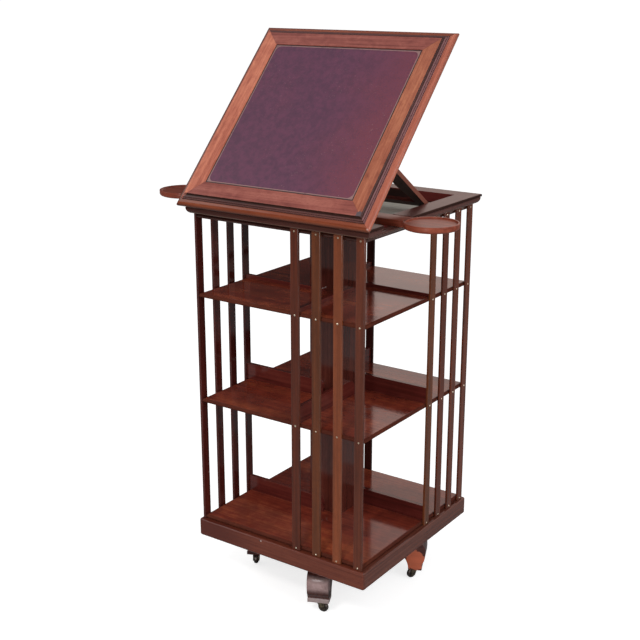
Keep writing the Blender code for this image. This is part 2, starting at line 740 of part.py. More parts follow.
# Slope frame
bm = bmesh.new()
section = [(NOSING_WIDTH - a, NOSING_HEIGHT / 2.0 + b)
           for a, b in arc((0.0, 0.0), (NOSING_WIDTH, NOSING_HEIGHT / 2.0), -90.0, 90.0, 8)]
inset = NOSING_WIDTH + EASE
level = NOSING_HEIGHT
section.append((inset, level))
for count in range(2):
    level += FILLET_STEP
    section.append((inset, level))
    inset += FILLET_WIDTH
    section.append((inset, level))
section += [(inset + HOLLOW_WIDTH * a, level + (SLOPE_THICK - level) * b)
            for a, b in arc((0.0, 1.0), (1.0, 1.0), -75.0, 0.0, 4)]
section += [
    (SLOPE_BORDER, SLOPE_THICK),
    (SLOPE_BORDER, LEDGE_THICK),
    (SLOPE_BORDER + LEDGE_WIDTH, LEDGE_THICK),
    (SLOPE_BORDER + LEDGE_WIDTH, 0.0),
]
add_frame(bm, (-SLOPE_HALF, SLOPE_FRONT), (SLOPE_HALF, SLOPE_REAR), section)
slope_frame = place("slope_frame", bm, LIGHT_MAHOGANY, parent=slope_pivot)
cutter = bmesh.new()
for side in (-1.0, 1.0):
    middle = side * HINGE_SPREAD
    half = HINGE_LENGTH / 2.0 + GAP
    knuckle = KNUCKLE_RADIUS + RUN_GAP
    leaf_high = HINGE_LEAF_THICK + 2.0 * GAP
    outline = [
        (-knuckle, -CUT_PAST),
        (-knuckle, knuckle),
        (knuckle, knuckle),
        (knuckle, leaf_high),
        (HINGE_LEAF + GAP, leaf_high),
        (HINGE_LEAF + GAP, -CUT_PAST),
    ]
    add_prism(cutter, outline, 0, middle - half, middle + half)
boolean(slope_frame, cutter, "DIFFERENCE", "slope_hinge_recess")

# Slope panel and leather
panel_half = SLOPE_HALF - SLOPE_BORDER - GAP
panel_front = SLOPE_FRONT + SLOPE_BORDER + GAP
panel_rear = SLOPE_REAR - SLOPE_BORDER - GAP
leather_high = SLOPE_THICK - LEATHER_SUNK
leather_low = leather_high - LEATHER_THICK
panel_low = LEDGE_THICK + GAP
bm = bmesh.new()
add_box(bm, (-panel_half, panel_front, panel_low), (panel_half, panel_rear, leather_low - GAP))
place("slope_panel", bm, MAHOGANY, parent=slope_pivot)
bm = bmesh.new()
add_box(bm, (-panel_half, panel_front, leather_low), (panel_half, panel_rear, leather_high))
place("slope_leather", bm, LEATHER_RED, roughness=0.55, parent=slope_pivot)

# Hinges
third = HINGE_LENGTH / 3.0
for name, side in (("left", -1.0), ("right", 1.0)):
    middle = side * HINGE_SPREAD
    low = middle - HINGE_LENGTH / 2.0
    high = middle + HINGE_LENGTH / 2.0
    plate_top = -SLOPE_LIFT - GAP
    plate_near = KNUCKLE_RADIUS + RUN_GAP
    bm = bmesh.new()
    add_cylinder(bm, PIN_RADIUS, (low + JOIN, 0.0, 0.0), (high - JOIN, 0.0, 0.0), 12)
    leaf = place("hinge_case_leaf_" + name, bm, BRASS, 1.0, 0.35, parent=case_pivot)
    leaf.location = (0.0, HINGE_Y, HINGE_Z)
    for part, start, end in (("a", low, low + third - GAP), ("b", high - third + GAP, high)):
        knuckle = bmesh.new()
        add_cylinder(knuckle, KNUCKLE_RADIUS, (start, 0.0, 0.0), (end, 0.0, 0.0), 16)
        boolean(leaf, knuckle, "UNION", "case_knuckle_%s_%s" % (name, part))
        web = bmesh.new()
        add_box(web, (start, 0.0, plate_top - HINGE_LEAF_THICK), (end, plate_near + JOIN, plate_top))
        boolean(leaf, web, "UNION", "case_web_%s_%s" % (name, part))
    plate = bmesh.new()
    add_box(plate, (low, plate_near, plate_top - HINGE_LEAF_THICK), (high, HINGE_LEAF, plate_top))
    boolean(leaf, plate, "UNION", "case_plate_" + name)

    plate_low = GAP
    bm = bmesh.new()
    add_box(bm, (low, plate_near, plate_low), (high, HINGE_LEAF, plate_low + HINGE_LEAF_THICK))
    leaf = place("hinge_slope_leaf_" + name, bm, BRASS, 1.0, 0.35, parent=slope_pivot)
    start = low + third + GAP
    end = high - third - GAP
    web = bmesh.new()
    add_box(web, (start, 0.0, plate_low), (end, plate_near + JOIN, plate_low + HINGE_LEAF_THICK))
    boolean(leaf, web, "UNION", "slope_web_" + name)
    knuckle = bmesh.new()
    add_cylinder(knuckle, KNUCKLE_RADIUS, (start, 0.0, 0.0), (end, 0.0, 0.0), 16)
    boolean(leaf, knuckle, "UNION", "slope_knuckle_" + name)
    bore = bmesh.new()
    add_cylinder(bore, PIN_RADIUS + GAP, (start - JOIN, 0.0, 0.0), (end + JOIN, 0.0, 0.0), 12)
    boolean(leaf, bore, "DIFFERENCE", "slope_bore_" + name)

# Strut lugs on the slope
lug_radius = STRUT_AXLE + LUG_WALL
lug_top = panel_low - GAP
for name, side in (("left", -1.0), ("right", 1.0)):
    middle = side * LUG_SPREAD
    outline = [(STRUT_PIVOT + lug_radius, lug_top), (STRUT_PIVOT - lug_radius, lug_top)]
    outline += arc((STRUT_PIVOT, -STRUT_DROP), (lug_radius, lug_radius), 180.0, 360.0, 8)
    bm = bmesh.new()
    add_prism(bm, outline, 0, middle - LUG_THICK / 2.0, middle + LUG_THICK / 2.0)
    lug = place("strut_lug_" + name, bm, MAHOGANY, parent=slope_pivot)
    bore = bmesh.new()
    start = (middle - LUG_THICK, STRUT_PIVOT, -STRUT_DROP)
    end = (middle + LUG_THICK, STRUT_PIVOT, -STRUT_DROP)
    add_cylinder(bore, STRUT_AXLE + GAP, start, end, 20)
    boolean(lug, bore, "DIFFERENCE", "lug_bore_" + name)

# Strut
bm = bmesh.new()
leg_inner = LEG_OUTER - LEG_WIDTH
foot_inner = LEG_OUTER - LEG_FOOT_WIDTH
leg_end = STRUT_LENGTH + STRUT_FOOT + JOIN
half = LEG_THICK / 2.0
add_cylinder(bm, STRUT_AXLE, (-leg_inner - JOIN, 0.0, 0.0), (leg_inner + JOIN, 0.0, 0.0), 20)
strut = place("strut", bm, MAHOGANY, parent=strut_pivot)
for name, side in (("left", -1.0), ("right", 1.0)):
    outline = arc((0.0, 0.0), (half, half), 90.0, 270.0, 6)
    outline += arc((STRUT_LENGTH, 0.0), (STRUT_FOOT, STRUT_FOOT), -70.0, 70.0, 6)
    leg = bmesh.new()
    ends = sorted((side * leg_inner, side * LEG_OUTER))
    add_prism(leg, outline, 0, ends[0], ends[1])
    boolean(strut, leg, "UNION", "strut_leg_" + name)
    taper = bmesh.new()
    outline = [
        (side * leg_inner, LEG_TAPER_FROM),
        (side * foot_inner, leg_end),
        (side * (leg_inner - CUT_PAST), leg_end),
        (side * (leg_inner - CUT_PAST), LEG_TAPER_FROM),
    ]
    add_prism(taper, outline, 2, -CUT_PAST, CUT_PAST)
    boolean(strut, taper, "DIFFERENCE", "strut_taper_" + name)
bar = bmesh.new()
bar_rear = STRUT_LENGTH - BAR_FROM_FOOT
low = (-foot_inner - JOIN, bar_rear - BAR_DEPTH, -half + EASE)
add_box(bar, low, (foot_inner + JOIN, bar_rear, half - EASE))
boolean(strut, bar, "UNION", "strut_bar")
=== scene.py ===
"""Dress the revolving bookcase: polished mahogany, worn hide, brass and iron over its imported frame."""
import logging
import math
from dataclasses import dataclass
from enum import Enum, IntEnum
from functools import reduce
from itertools import product
from typing import Optional, Sequence, Union

import bmesh
import bpy
from mathutils import Matrix, Vector


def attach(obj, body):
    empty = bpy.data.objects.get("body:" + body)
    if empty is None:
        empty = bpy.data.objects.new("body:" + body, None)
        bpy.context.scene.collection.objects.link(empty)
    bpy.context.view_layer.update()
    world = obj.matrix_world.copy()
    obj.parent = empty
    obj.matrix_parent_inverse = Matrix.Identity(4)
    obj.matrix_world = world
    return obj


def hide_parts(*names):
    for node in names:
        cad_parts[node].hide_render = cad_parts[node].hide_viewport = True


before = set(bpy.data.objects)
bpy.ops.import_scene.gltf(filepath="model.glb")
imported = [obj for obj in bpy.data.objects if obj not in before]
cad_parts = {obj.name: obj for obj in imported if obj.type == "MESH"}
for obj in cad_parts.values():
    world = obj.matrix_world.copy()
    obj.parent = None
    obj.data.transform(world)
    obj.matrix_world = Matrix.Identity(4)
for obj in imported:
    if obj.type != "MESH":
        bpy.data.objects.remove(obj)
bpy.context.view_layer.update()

LOG = logging.getLogger("bookcase")

Colour = tuple[float, float, float]
Triple = tuple[float, float, float]
Point = tuple[float, float]
Socket = bpy.types.NodeSocket
Value = Union[float, Socket]
Row = Union[Socket, Sequence[float]]
Inputs = dict[Union[str, int], Union[Value, Row]]
Masks = tuple[Socket, Socket, Socket]
Material = bpy.types.Material
WorkMesh = bmesh.types.BMesh
Vert = bmesh.types.BMVert

QUARTER = math.pi / 2.0
HINGE = Vector((0.0, -0.2485, 0.9535))
SLOPE_TILT = math.radians(46.7)
SLOPE_FRAME = Matrix.Translation(HINGE) @ Matrix.Rotation(SLOPE_TILT, 4, "X")
SLOPE_MIDDLE = 0.2465
SLOPE_CENTRE = SLOPE_FRAME @ Matrix.Translation((0.0, SLOPE_MIDDLE, 0.0))
STRUT_LEAN = math.radians(-35.01)
BASE_TURN = math.radians(24.0)


def spun(angle: float, axis: str) -> Matrix:
    """A turn about one axis, in radians."""
    return Matrix.Rotation(angle, 4, axis)


class Lay(Enum):
    """How the grain of a wooden piece runs."""

    ALONG_X = "along_x"
    ALONG_Y = "along_y"
    ALONG_Z = "along_z"
    MITRED = "mitred"
    SLOPE_MITRED = "slope_mitred"
    SLOPE_X = "slope_x"
    STRUT = "strut"
    BEAM_FRONT = "beam_front"
    BEAM_SIDE = "beam_side"


@dataclass(frozen=True)
class Grain:
    """Stretched noise: cells per metre along each axis, octaves, weight of the fine octaves, and swirl."""

    stretch: Triple
    detail: float
    roughness: float
    swirl: float = 0.0


# Noise of the woods
BROAD = Grain((1.1, 9.0, 9.0), 3.0, 0.5, 0.6)
STREAK = Grain((3.5, 150.0, 150.0), 5.0, 0.62, 0.25)
RIBBON = Grain((34.0, 55.0, 55.0), 3.0, 0.55, 0.5)
PORES = Grain((130.0, 1900.0, 1900.0), 2.0, 0.5)
RUB = Grain((40.0, 70.0, 70.0), 4.0, 0.6)
HAZE = Grain((17.0,) * 3, 3.0, 0.6)
RAG = Grain((110.0,) * 3, 4.0, 0.65)
# Noise of the hide
CLOUD = Grain((9.0,) * 3, 4.0, 0.6, 0.4)
MOTTLE = Grain((70.0,) * 3, 5.0, 0.65)
SPECK = Grain((420.0,) * 3, 2.0, 0.5)
GRIT = Grain((260.0,) * 3, 4.0, 0.7)
# Noise of the metals
PATCH = Grain((160.0,) * 3, 4.0, 0.6)
FINE = Grain((1400.0,) * 3, 3.0, 0.6)


class Bench:
    """Lays out the nodes of one material, or of the world."""

    def __init__(self, name: str, world: bool = False) -> None:
        """Start from the plain shader of a new material or world.

        Args:
            name: plain name of the finish.
            world: whether the nodes are the world's.
        """
        self.material = (bpy.data.worlds if world else bpy.data.materials).new(name)
        self.material.use_nodes = True
        self.tree = self.material.node_tree
        self.shader = self.tree.nodes["Background" if world else "Principled BSDF"]

    def feed(self, node: bpy.types.Node, inputs: Inputs) -> None:
        """Link sockets to a node's inputs, or set constants on them.

        Args:
            node: the node to feed.
            inputs: an output socket, a number or a row of numbers for each input.
        """
        for key, value in inputs.items():
            if isinstance(value, Socket):
                self.tree.links.new(value, node.inputs[key])
            else:
                node.inputs[key].default_value = value

    def node(self, kind: str, inputs: Inputs, **settings: object) -> bpy.types.Node:
        """Add a node.

        Args:
            kind: node type without its leading word.
            inputs: what its inputs are fed with.
            settings: properties to set on it.

        Returns:
            The new node.
        """
        made = self.tree.nodes.new("ShaderNode" + kind)
        for key, value in settings.items():
            setattr(made, key, value)
        self.feed(made, inputs)
        return made

    def math(self, operation: str, a: Value, b: Value = 0.0, clamp: bool = False) -> Socket:
        """Plain arithmetic on numbers, kept between 0 and 1 where it is clamped."""
        return self.node("Math", {0: a, 1: b}, operation=operation, use_clamp=clamp).outputs[0]

    def plus(self, a: Value, b: Value) -> Socket:
        """The sum of two numbers."""
        return self.math("ADD", a, b)

    def minus(self, a: Value, b: Value) -> Socket:
        """The difference of two numbers."""
        return self.math("SUBTRACT", a, b)

    def times(self, a: Value, b: Value) -> Socket:
        """The product of two numbers."""
        return self.math("MULTIPLY", a, b)

    def rest(self, share: Socket) -> Socket:
        """What a share leaves of 1."""
        return self.minus(1.0, share)

    def widest(self, *spans: Socket) -> Socket:
        """The largest of some numbers, signs left out."""
        sizes = [self.math("ABSOLUTE", span) for span in spans]
        return reduce(lambda a, b: self.math("MAXIMUM", a, b), sizes)

    def band(self, value: Value, low: float, high: float) -> Socket:
        """Smooth step from 0 at low to 1 at high."""
        inputs = {"Value": value, "From Min": low, "From Max": high}
        return self.node("MapRange", inputs, interpolation_type="SMOOTHSTEP").outputs["Result"]

    def mix(self, factor: Value, a: Row, b: Row, blend: str = "MIX") -> Socket:
        """Mix two colours by the share of the second."""
        a, b = [colour if isinstance(colour, Socket) else (*colour, 1.0) for colour in (a, b)]
        return self.node("Mix", {0: factor, 6: a, 7: b}, data_type="RGBA", blend_type=blend).outputs[2]

    def noise(self, vector: Socket, grain: Grain) -> Socket:
        """Noise between 0 and 1, stretched as its grain says."""
        place = self.node("Mapping", {"Vector": vector, "Scale": grain.stretch}).outputs[0]
        return self.node("TexNoise", {"Vector": place, "Scale": 1.0, "Detail": grain.detail,
                                      "Roughness": grain.roughness, "Distortion": grain.swirl}).outputs["Fac"]

    def ramp(self, factor: Socket, stops: Sequence[tuple[float, Colour]]) -> Socket:
        """Colour ramp.

        Args:
            factor: position on the ramp.
            stops: positions with their colours.

        Returns:
            The colour.
        """
        made = self.node("ValToRGB", {"Fac": factor})
        elements = made.color_ramp.elements
        while len(elements) < len(stops):
            elements.new(0.5)
        for element, (place, colour) in zip(elements, stops):
            element.position = place
            element.color = (*colour, 1.0)
        return made.outputs["Color"]

    def coordinates(self, kind: str = "Object") -> Socket:
        """Object coordinates, which are the frame's own metres, or another kind."""
        return self.node("TexCoord", {}).outputs[kind]

    def turned(self, vector: Socket, matrix: Matrix) -> Socket:
        """The object's coordinates as seen from another frame, given by its matrix."""
        back = matrix.inverted()
        return self.node("Mapping", {"Vector": vector, "Location": back.to_translation(),
                                     "Rotation": back.to_euler()}).outputs[0]

    def split(self, vector: Socket) -> tuple[Socket, ...]:
        """The three numbers of a vector."""
        return tuple(self.node("SeparateXYZ", {0: vector}).outputs)

    def join(self, x: Value, y: Value, z: Value) -> Socket:
        """A vector from three numbers."""
        return self.node("CombineXYZ", {0: x, 1: y, 2: z}).outputs[0]

    def vector(self, operation: str, a: Row, b: Row = (0.0, 0.0, 0.0), give: str = "Vector") -> Socket:
        """Plain arithmetic on vectors that gives a Vector or a Value."""
        return self.node("VectorMath", {0: a, 1: b}, operation=operation).outputs[give]

    def mitred(self, vector: Socket) -> tuple[Socket, Masks]:
        """Grain that runs round a square frame, with a fine joint on its diagonals.

        Args:
            vector: coordinates centred on the square.

        Returns:
            Coordinates whose first axis follows the grain, and masks of the joints, left rail and right rail.
        """
        other_board, joint_line = 3.0, (0.0002, 0.0010)
        x, y, z = self.split(vector)
        lead = self.minus(self.math("ABSOLUTE", x), self.math("ABSOLUTE", y))
        side = self.math("GREATER_THAN", lead, 0.0)
        across = self.join(y, self.plus(x, other_board), z)
        place = self.node("Mix", {0: side, 4: vector, 5: across}, data_type="VECTOR").outputs[1]
        joint = self.rest(self.band(self.math("ABSOLUTE", lead), *joint_line))
        right = self.times(side, self.math("GREATER_THAN", x, 0.0))
        return place, (joint, self.minus(side, right), right)

    def edge(self, radius: float) -> Socket:
        """Mask of the arrises of a piece.

        Args:
            radius: how far the wear reaches from the arris.

        Returns:
            1 on an arris, 0 away from it.
        """
        worn_to_flat = (0.74, 0.97)
        soft = self.node("Bevel", {"Radius": radius}, samples=6).outputs["Normal"]
        hard = self.node("NewGeometry", {}).outputs["Normal"]
        return self.rest(self.band(self.vector("DOT_PRODUCT", soft, hard, "Value"), *worn_to_flat))

    def bump(self, height: Socket, strength: float, distance: float) -> None:
        """Feed a height between 0 and 1, so many metres deep, to the shader's normal."""
        made = self.node("Bump", {"Strength": strength, "Distance": distance, "Height": height})
        self.feed(self.shader, {"Normal": made.outputs["Normal"]})


@dataclass(frozen=True)
class Scar:
    """A local mark in a finish, such as a chip down to the raw wood, a nail, or painted shade, highlight or
    reflection.
    """

    centre: Triple
    size: Triple
    colour: Colour
    ragged: float = 0.0
    square: bool = False
    dull: float = 0.6
    soft: float = 0.14

    def mask(self, bench: Bench) -> Socket:
        """Where the mark lies.

        Args:
            bench: the material being laid out.

        Returns:
            1 inside the mark.
        """
        place = bench.coordinates()
        apart = bench.vector("DIVIDE", bench.vector("SUBTRACT", place, self.centre), self.size)
        if self.square:
            far = bench.widest(*bench.split(apart))
        else:
            far = bench.vector("LENGTH", apart, give="Value")
        rag = bench.minus(bench.noise(place, RAG), 0.5)
        far = bench.plus(far, bench.times(rag, self.ragged))
        return bench.rest(bench.band(far, 1.0 - self.soft, 1.0))


@dataclass(frozen=True)
class Wood:
    """Polished mahogany of one tone."""

    name: str
    dark: Colour
    mid: Colour
    light: Colour
    worn: Colour
    wear: float = 0.6
    reach: float = 0.0016
    gloss: float = 0.06
    shine: float = 0.5
    figure: float = 0.45
    ribbon: float = 0.12
    cloud: float = 0.0
    rim: float = 0.0
    # Multipliers of the left and right side rails' tone, used to paint light, shade and sheen on one side
    left: Colour = (1.0, 1.0, 1.0)
    right: Colour = (1.0, 1.0, 1.0)
    scars: tuple[Scar, ...] = ()
    # What all tones share
    stops: Triple = (0.34, 0.5, 0.66)
    pore_band: Point = (0.34, 0.46)
    pore_share: float = 0.45
    pore_depth: float = 0.6
    rub_band: Point = (0.30, 0.60)
    rub_dull: float = 0.15
    haze_band: Point = (0.40, 0.62)
    haze_dull: float = 0.07
    relief: Point = (0.06, 0.0005)
    joint_share: float = 0.35
    joint_tone: Colour = (0.030, 0.011, 0.007)
    rim_fade: Point = (0.0030, 0.0010)
    rim_share: float = 0.8
    scar_grain: float = 0.5

    def make(self, lay: Lay) -> Material:
        """Make the finish with its grain laid one way.

        Args:
            lay: how the grain runs.

        Returns:
            The material.
        """
        bench = Bench("%s_%s" % (self.name, lay.value))
        place, rails = self.grain_place(bench, lay)
        broad, streak, ribbon, pores = [bench.noise(place, grain) for grain in (BROAD, STREAK, RIBBON, PORES)]
        tone = bench.plus(bench.times(broad, self.figure), bench.times(streak, 1.0 - self.figure))
        tone = bench.plus(tone, bench.times(bench.minus(ribbon, 0.5), self.ribbon))
        colour = bench.ramp(tone, list(zip(self.stops, (self.dark, self.mid, self.light))))
        fleck = bench.rest(bench.band(pores, *self.pore_band))
        colour = bench.mix(bench.times(fleck, self.pore_share), colour, self.dark)
        if rails is not None:
            joint, left, right = rails
            colour = bench.mix(left, colour, self.left, "MULTIPLY")
            colour = bench.mix(right, colour, self.right, "MULTIPLY")
            colour = bench.mix(bench.times(joint, self.joint_share), colour, self.joint_tone)
        edge = bench.times(bench.edge(self.reach), bench.band(bench.noise(place, RUB), *self.rub_band))
        colour = bench.mix(bench.times(edge, self.wear), colour, self.worn)
        haze = bench.noise(bench.coordinates(), HAZE)
        if self.cloud > 0.0:
            cloud = bench.times(bench.band(haze, *self.haze_band), self.cloud)
            colour = bench.mix(cloud, colour, self.dark)
        rough = bench.plus(self.gloss, bench.times(haze, self.haze_dull))
        rough = bench.math("ADD", rough, bench.times(edge, self.rub_dull), clamp=True)
        shine: Value = self.shine
        # The rim darkens the outer band towards the worn tone and takes its sheen away: painted shade along
        # the outer edges
        if self.rim > 0.0:
            across, along, _ = bench.split(bench.coordinates())
            low, high = self.rim - self.rim_fade[0], self.rim + self.rim_fade[1]
            out = bench.band(bench.widest(across, along), low, high)
            colour = bench.mix(bench.times(out, self.rim_share), colour, self.worn)
            shine = bench.times(bench.rest(out), self.shine)
        for scar in self.scars:
            mask = scar.mask(bench)
            grain = bench.mix(bench.times(streak, self.scar_grain), scar.colour, self.dark)
            colour = bench.mix(mask, colour, grain)
            rough = bench.math("MAXIMUM", rough, bench.times(mask, scar.dull))
        bench.feed(bench.shader, {"Base Color": colour, "Roughness": rough, "Specular IOR Level": shine})
        bench.bump(bench.minus(streak, bench.times(fleck, self.pore_depth)), *self.relief)
        return bench.material

    @staticmethod
    def grain_place(bench: Bench, lay: Lay) -> tuple[Socket, Optional[Masks]]:
        """Coordinates whose first axis follows the grain.

        Args:
            bench: the material being laid out.
            lay: how the grain runs.

        Returns:
            The coordinates, and the masks of mitred rails where there are any.
        """
        vector = bench.coordinates()
        if lay is Lay.MITRED:
            return bench.mitred(vector)
        if lay is Lay.SLOPE_MITRED:
            return bench.mitred(bench.turned(vector, SLOPE_CENTRE))
        turns = {
            Lay.ALONG_X: Matrix.Identity(4),
            Lay.ALONG_Y: spun(QUARTER, "Z"),
            Lay.ALONG_Z: spun(QUARTER, "Y"),
            Lay.SLOPE_X: SLOPE_FRAME,
            Lay.STRUT: spun(STRUT_LEAN, "X") @ spun(QUARTER, "Z"),
            Lay.BEAM_SIDE: spun(BASE_TURN, "Z"),
            Lay.BEAM_FRONT: spun(BASE_TURN + QUARTER, "Z"),
        }
        return bench.turned(vector, turns[lay]), None


@dataclass(frozen=True)
class Hide:
    """Worn hide of the writing surface, rubbed pale along its edge and at its corners."""

    name: str = "worn_hide"
    # The purple of the deep and plain tones is a painted sky reflection
    deep: Colour = (0.082, 0.028, 0.056)
    plain: Colour = (0.122, 0.036, 0.072)
    rubbed: Colour = (0.168, 0.036, 0.052)
    pale: Colour = (0.260, 0.145, 0.135)
    dot: Colour = (0.40, 0.26, 0.25)
    # Near-black of the groove where the hide meets the frame: painted shade in the gap
    gap: Colour = (0.014, 0.004, 0.004)
    gloss: float = 0.36
    shine: float = 0.35
    cells: float = 620.0
    half: Point = (0.1962, 0.1967)
    groove: float = 0.0025
    line: float = 0.0048
    corner: float = 0.014

    def make(self) -> Material:
        """Make the finish.

        Returns:
            The material.
        """
        bench = Bench(self.name)
        place = bench.turned(bench.coordinates(), SLOPE_CENTRE)
        cloud, mottle, speck, grit = [bench.noise(place, grain) for grain in (CLOUD, MOTTLE, SPECK, GRIT)]
        colour = bench.mix(bench.band(mottle, 0.32, 0.68), self.deep, self.plain)
        x, y, _ = bench.split(place)
        # Towards the right the hide turns to the redder rubbed tone, and the painted purple reflection gives
        # way
        side = bench.band(bench.plus(x, bench.times(cloud, 0.16)), 0.08, 0.31)
        red = bench.times(side, bench.band(grit, 0.25, 0.62))
        worn = bench.times(bench.band(cloud, 0.50, 0.78), bench.band(grit, 0.36, 0.7))
        colour = bench.mix(bench.math("MAXIMUM", red, bench.times(worn, 0.45)), colour, self.rubbed)
        dots = bench.times(bench.band(speck, 0.68, 0.76), bench.band(cloud, 0.45, 0.6))
        colour = bench.mix(bench.times(dots, 0.6), colour, self.dot)
        line, groove = self.border(bench, x, y)
        colour = bench.mix(bench.times(line, bench.band(mottle, 0.15, 0.5)), colour, self.pale)
        # Painted shade in the groove at the very edge
        colour = bench.mix(bench.times(groove, 0.9), colour, self.gap)
        rough = bench.plus(self.gloss, bench.times(mottle, 0.2))
        bench.feed(bench.shader, {"Base Color": colour, "Roughness": rough, "Specular IOR Level": self.shine})
        cells = bench.node("TexVoronoi", {"Vector": place, "Scale": self.cells}, feature="DISTANCE_TO_EDGE")
        pebble = bench.band(cells.outputs["Distance"], 0.0, 0.3)
        bench.bump(bench.minus(pebble, bench.times(line, 1.2)), 0.22, 0.0003)
        return bench.material

    def border(self, bench: Bench, x: Socket, y: Socket) -> tuple[Socket, Socket]:
        """Masks of the pale rubbed border, round at its inner corners, and of the groove at the very edge.

        Args:
            bench: the material being laid out.
            x: distance across from the middle.
            y: distance up from the middle.

        Returns:
            1 on the border, and 1 in the groove.
        """
        keep = self.line + self.corner
        across = bench.minus(bench.math("ABSOLUTE", x), self.half[0] - keep)
        along = bench.minus(bench.math("ABSOLUTE", y), self.half[1] - keep)
        out = [bench.math("MAXIMUM", span, 0.0) for span in (across, along)]
        reach = bench.math("SQRT", bench.plus(*[bench.times(span, span) for span in out]))
        line = bench.band(reach, self.corner - 0.0004, self.corner + 0.0005)
        edge = keep - self.groove
        return line, bench.band(bench.math("MAXIMUM", across, along), edge - 0.0002, edge + 0.0002)


@dataclass(frozen=True)
class Metal:
    """Aged metal with a tarnish in patches."""

    name: str
    bright: Colour
    tarnish: Colour
    gloss: float
    spread: float = 0.5
    fade: Point = (0.12, 0.14)
    dull: float = 0.22
    fine_share: float = 0.4
    relief: Point = (0.12, 0.0003)

    def make(self) -> Material:
        """Make the finish.

        Returns:
            The material.
        """
        bench = Bench(self.name)
        place = bench.coordinates()
        patch, fine = [bench.noise(place, grain) for grain in (PATCH, FINE)]
        mask = bench.band(patch, self.spread - self.fade[0], self.spread + self.fade[1])
        colour = bench.mix(mask, self.bright, self.tarnish)
        rough = bench.plus(self.gloss, bench.times(mask, self.dull))
        bench.feed(bench.shader, {"Base Color": colour, "Metallic": 1.0, "Roughness": rough})
        bench.bump(bench.plus(patch, bench.times(fine, self.fine_share)), *self.relief)
        return bench.material


# Marks of wear, and patches of painted shade, highlight and reflection
# Pale grey-green over the well floor: a dull, dusty floor with a painted sheen
WELL_FLOOR_DUST_AND_SHEEN = Scar((0.0, 0.0, 0.9297), (0.205, 0.205, 0.0030), (0.50, 0.48, 0.41), square=True)
NAIL_HEAD = Scar((-0.0491, -0.240, 0.1655), (0.0022, 0.0022, 0.0022), (0.60, 0.46, 0.42))
NAIL_HOLE = Scar((-0.0535, -0.240, 0.1650), (0.0020, 0.0020, 0.0020), (0.02, 0.008, 0.006))
# Darker left end of the plinth's front: painted shade
PLINTH_PAINTED_SHADE = Scar(
    (-0.200, -0.240, 0.150), (0.170, 0.030, 0.080), (0.095, 0.018, 0.011), 0.1, dull=0.1, soft=0.95)
# Light line along the bed moulding under the cornice: a painted highlight
BED_PAINTED_HIGHLIGHT = Scar(
    (0.0, 0.0, 0.9342), (0.6, 0.6, 0.0014), (0.200, 0.125, 0.095), square=True, dull=0.1, soft=0.6)
# Redder tone on the well's inner walls: painted light, the lit copy of the cornice's shaded wood
WELL_WALL_PAINTED_LIGHT = Scar(
    (0.0, 0.0, 0.9415), (0.222, 0.222, 0.0116), (0.240, 0.034, 0.030), square=True, dull=0.1, soft=0.04)
# Near-black patch on the rear rail's inner face, left of the strut: a painted shadow of the slope
WELL_PAINTED_SHADOW = Scar(
    (-0.050, 0.198, 0.9415), (0.160, 0.024, 0.0116), (0.014, 0.005, 0.005), square=True, dull=0.1, soft=0.3)
# Lighter tone on the strut's two outer sides: painted light on its lit edges
STRUT_PAINTED_LIT_SIDES = tuple(Scar((side, 0.0, 1.0), (0.0010, 0.6, 0.6), (0.30, 0.10, 0.068), square=True, dull=0.25)
                    for side in (0.196, -0.196))
# Grey-blue patch at the moulding's lower right inner corner: a worn corner with a painted sky reflection
SLOPE_CORNER_WEAR_AND_REFLECTION = Scar(
    tuple(SLOPE_FRAME @ Vector((0.2268, 0.0195, 0.024))), (0.0085, 0.0080, 0.0080), (0.075, 0.072, 0.080),
    1.4, dull=0.25)
# Darker band over the lower part of the slope's nosing at rest: painted shade
NOSING_PAINTED_SHADE = Scar(
    (0.0, 0.0, 0.947), (0.6, 0.6, 0.0120), (0.060, 0.022, 0.014), square=True, dull=0.1, soft=0.7)
# Pale pink spot on the right mitre of the lower nosing: a worn arris with a painted glint
NOSING_MITRE_WEAR_AND_GLINT = Scar(
    tuple(SLOPE_FRAME @ Vector((0.2525, -0.0065, 0.0141))), (0.0030, 0.0030, 0.0030), (0.52, 0.30, 0.26),
    0.6, dull=0.2, soft=0.7)
FOOT_CHIP = Scar((0.2006, 0.0608, 0.057), (0.026, 0.026, 0.028), (0.66, 0.145, 0.062), 0.9)
# Pale grey band on the front foot's lip: a painted reflection of the floor
LIP_PAINTED_REFLECTION = Scar(
    (0.0909, -0.2042, 0.0350), (0.036, 0.036, 0.0060), (0.44, 0.34, 0.33), 0.4, square=True, dull=0.35)
# Pale mauve patch over the front foot's bulge: a painted sheen on a duller finish
FOOT_PAINTED_SHEEN = Scar(
    (0.0944, -0.2119, 0.0790), (0.050, 0.050, 0.0240), (0.54, 0.37, 0.36), 0.45, square=True, dull=0.3,
    soft=0.95)

# Finishes
# Its dark worn tone on the arrises and its rim band are painted shade along the boards' edges
CASE_WOOD = Wood(
    "case_mahogany", (0.085, 0.013, 0.009), (0.200, 0.033, 0.018), (0.330, 0.076, 0.031),
    (0.060, 0.020, 0.014), wear=0.75, reach=0.0030, figure=0.62, ribbon=0.22, cloud=0.45, rim=0.2245)
RAIL_WOOD = Wood(
    "rail_mahogany", (0.050, 0.008, 0.006), (0.098, 0.015, 0.012), (0.150, 0.030, 0.021),
    (0.30, 0.12, 0.085), wear=0.5)
WELL_WOOD = Wood(
    "well_mahogany", (0.024, 0.007, 0.005), (0.045, 0.012, 0.008), (0.070, 0.020, 0.013),
    (0.16, 0.06, 0.04), wear=0.3, scars=(WELL_FLOOR_DUST_AND_SHEEN,))
TRAY_WOOD = Wood(
    "tray_mahogany", (0.110, 0.022, 0.011), (0.220, 0.046, 0.024), (0.320, 0.080, 0.042),
    (0.40, 0.18, 0.12), gloss=0.30, shine=0.25)
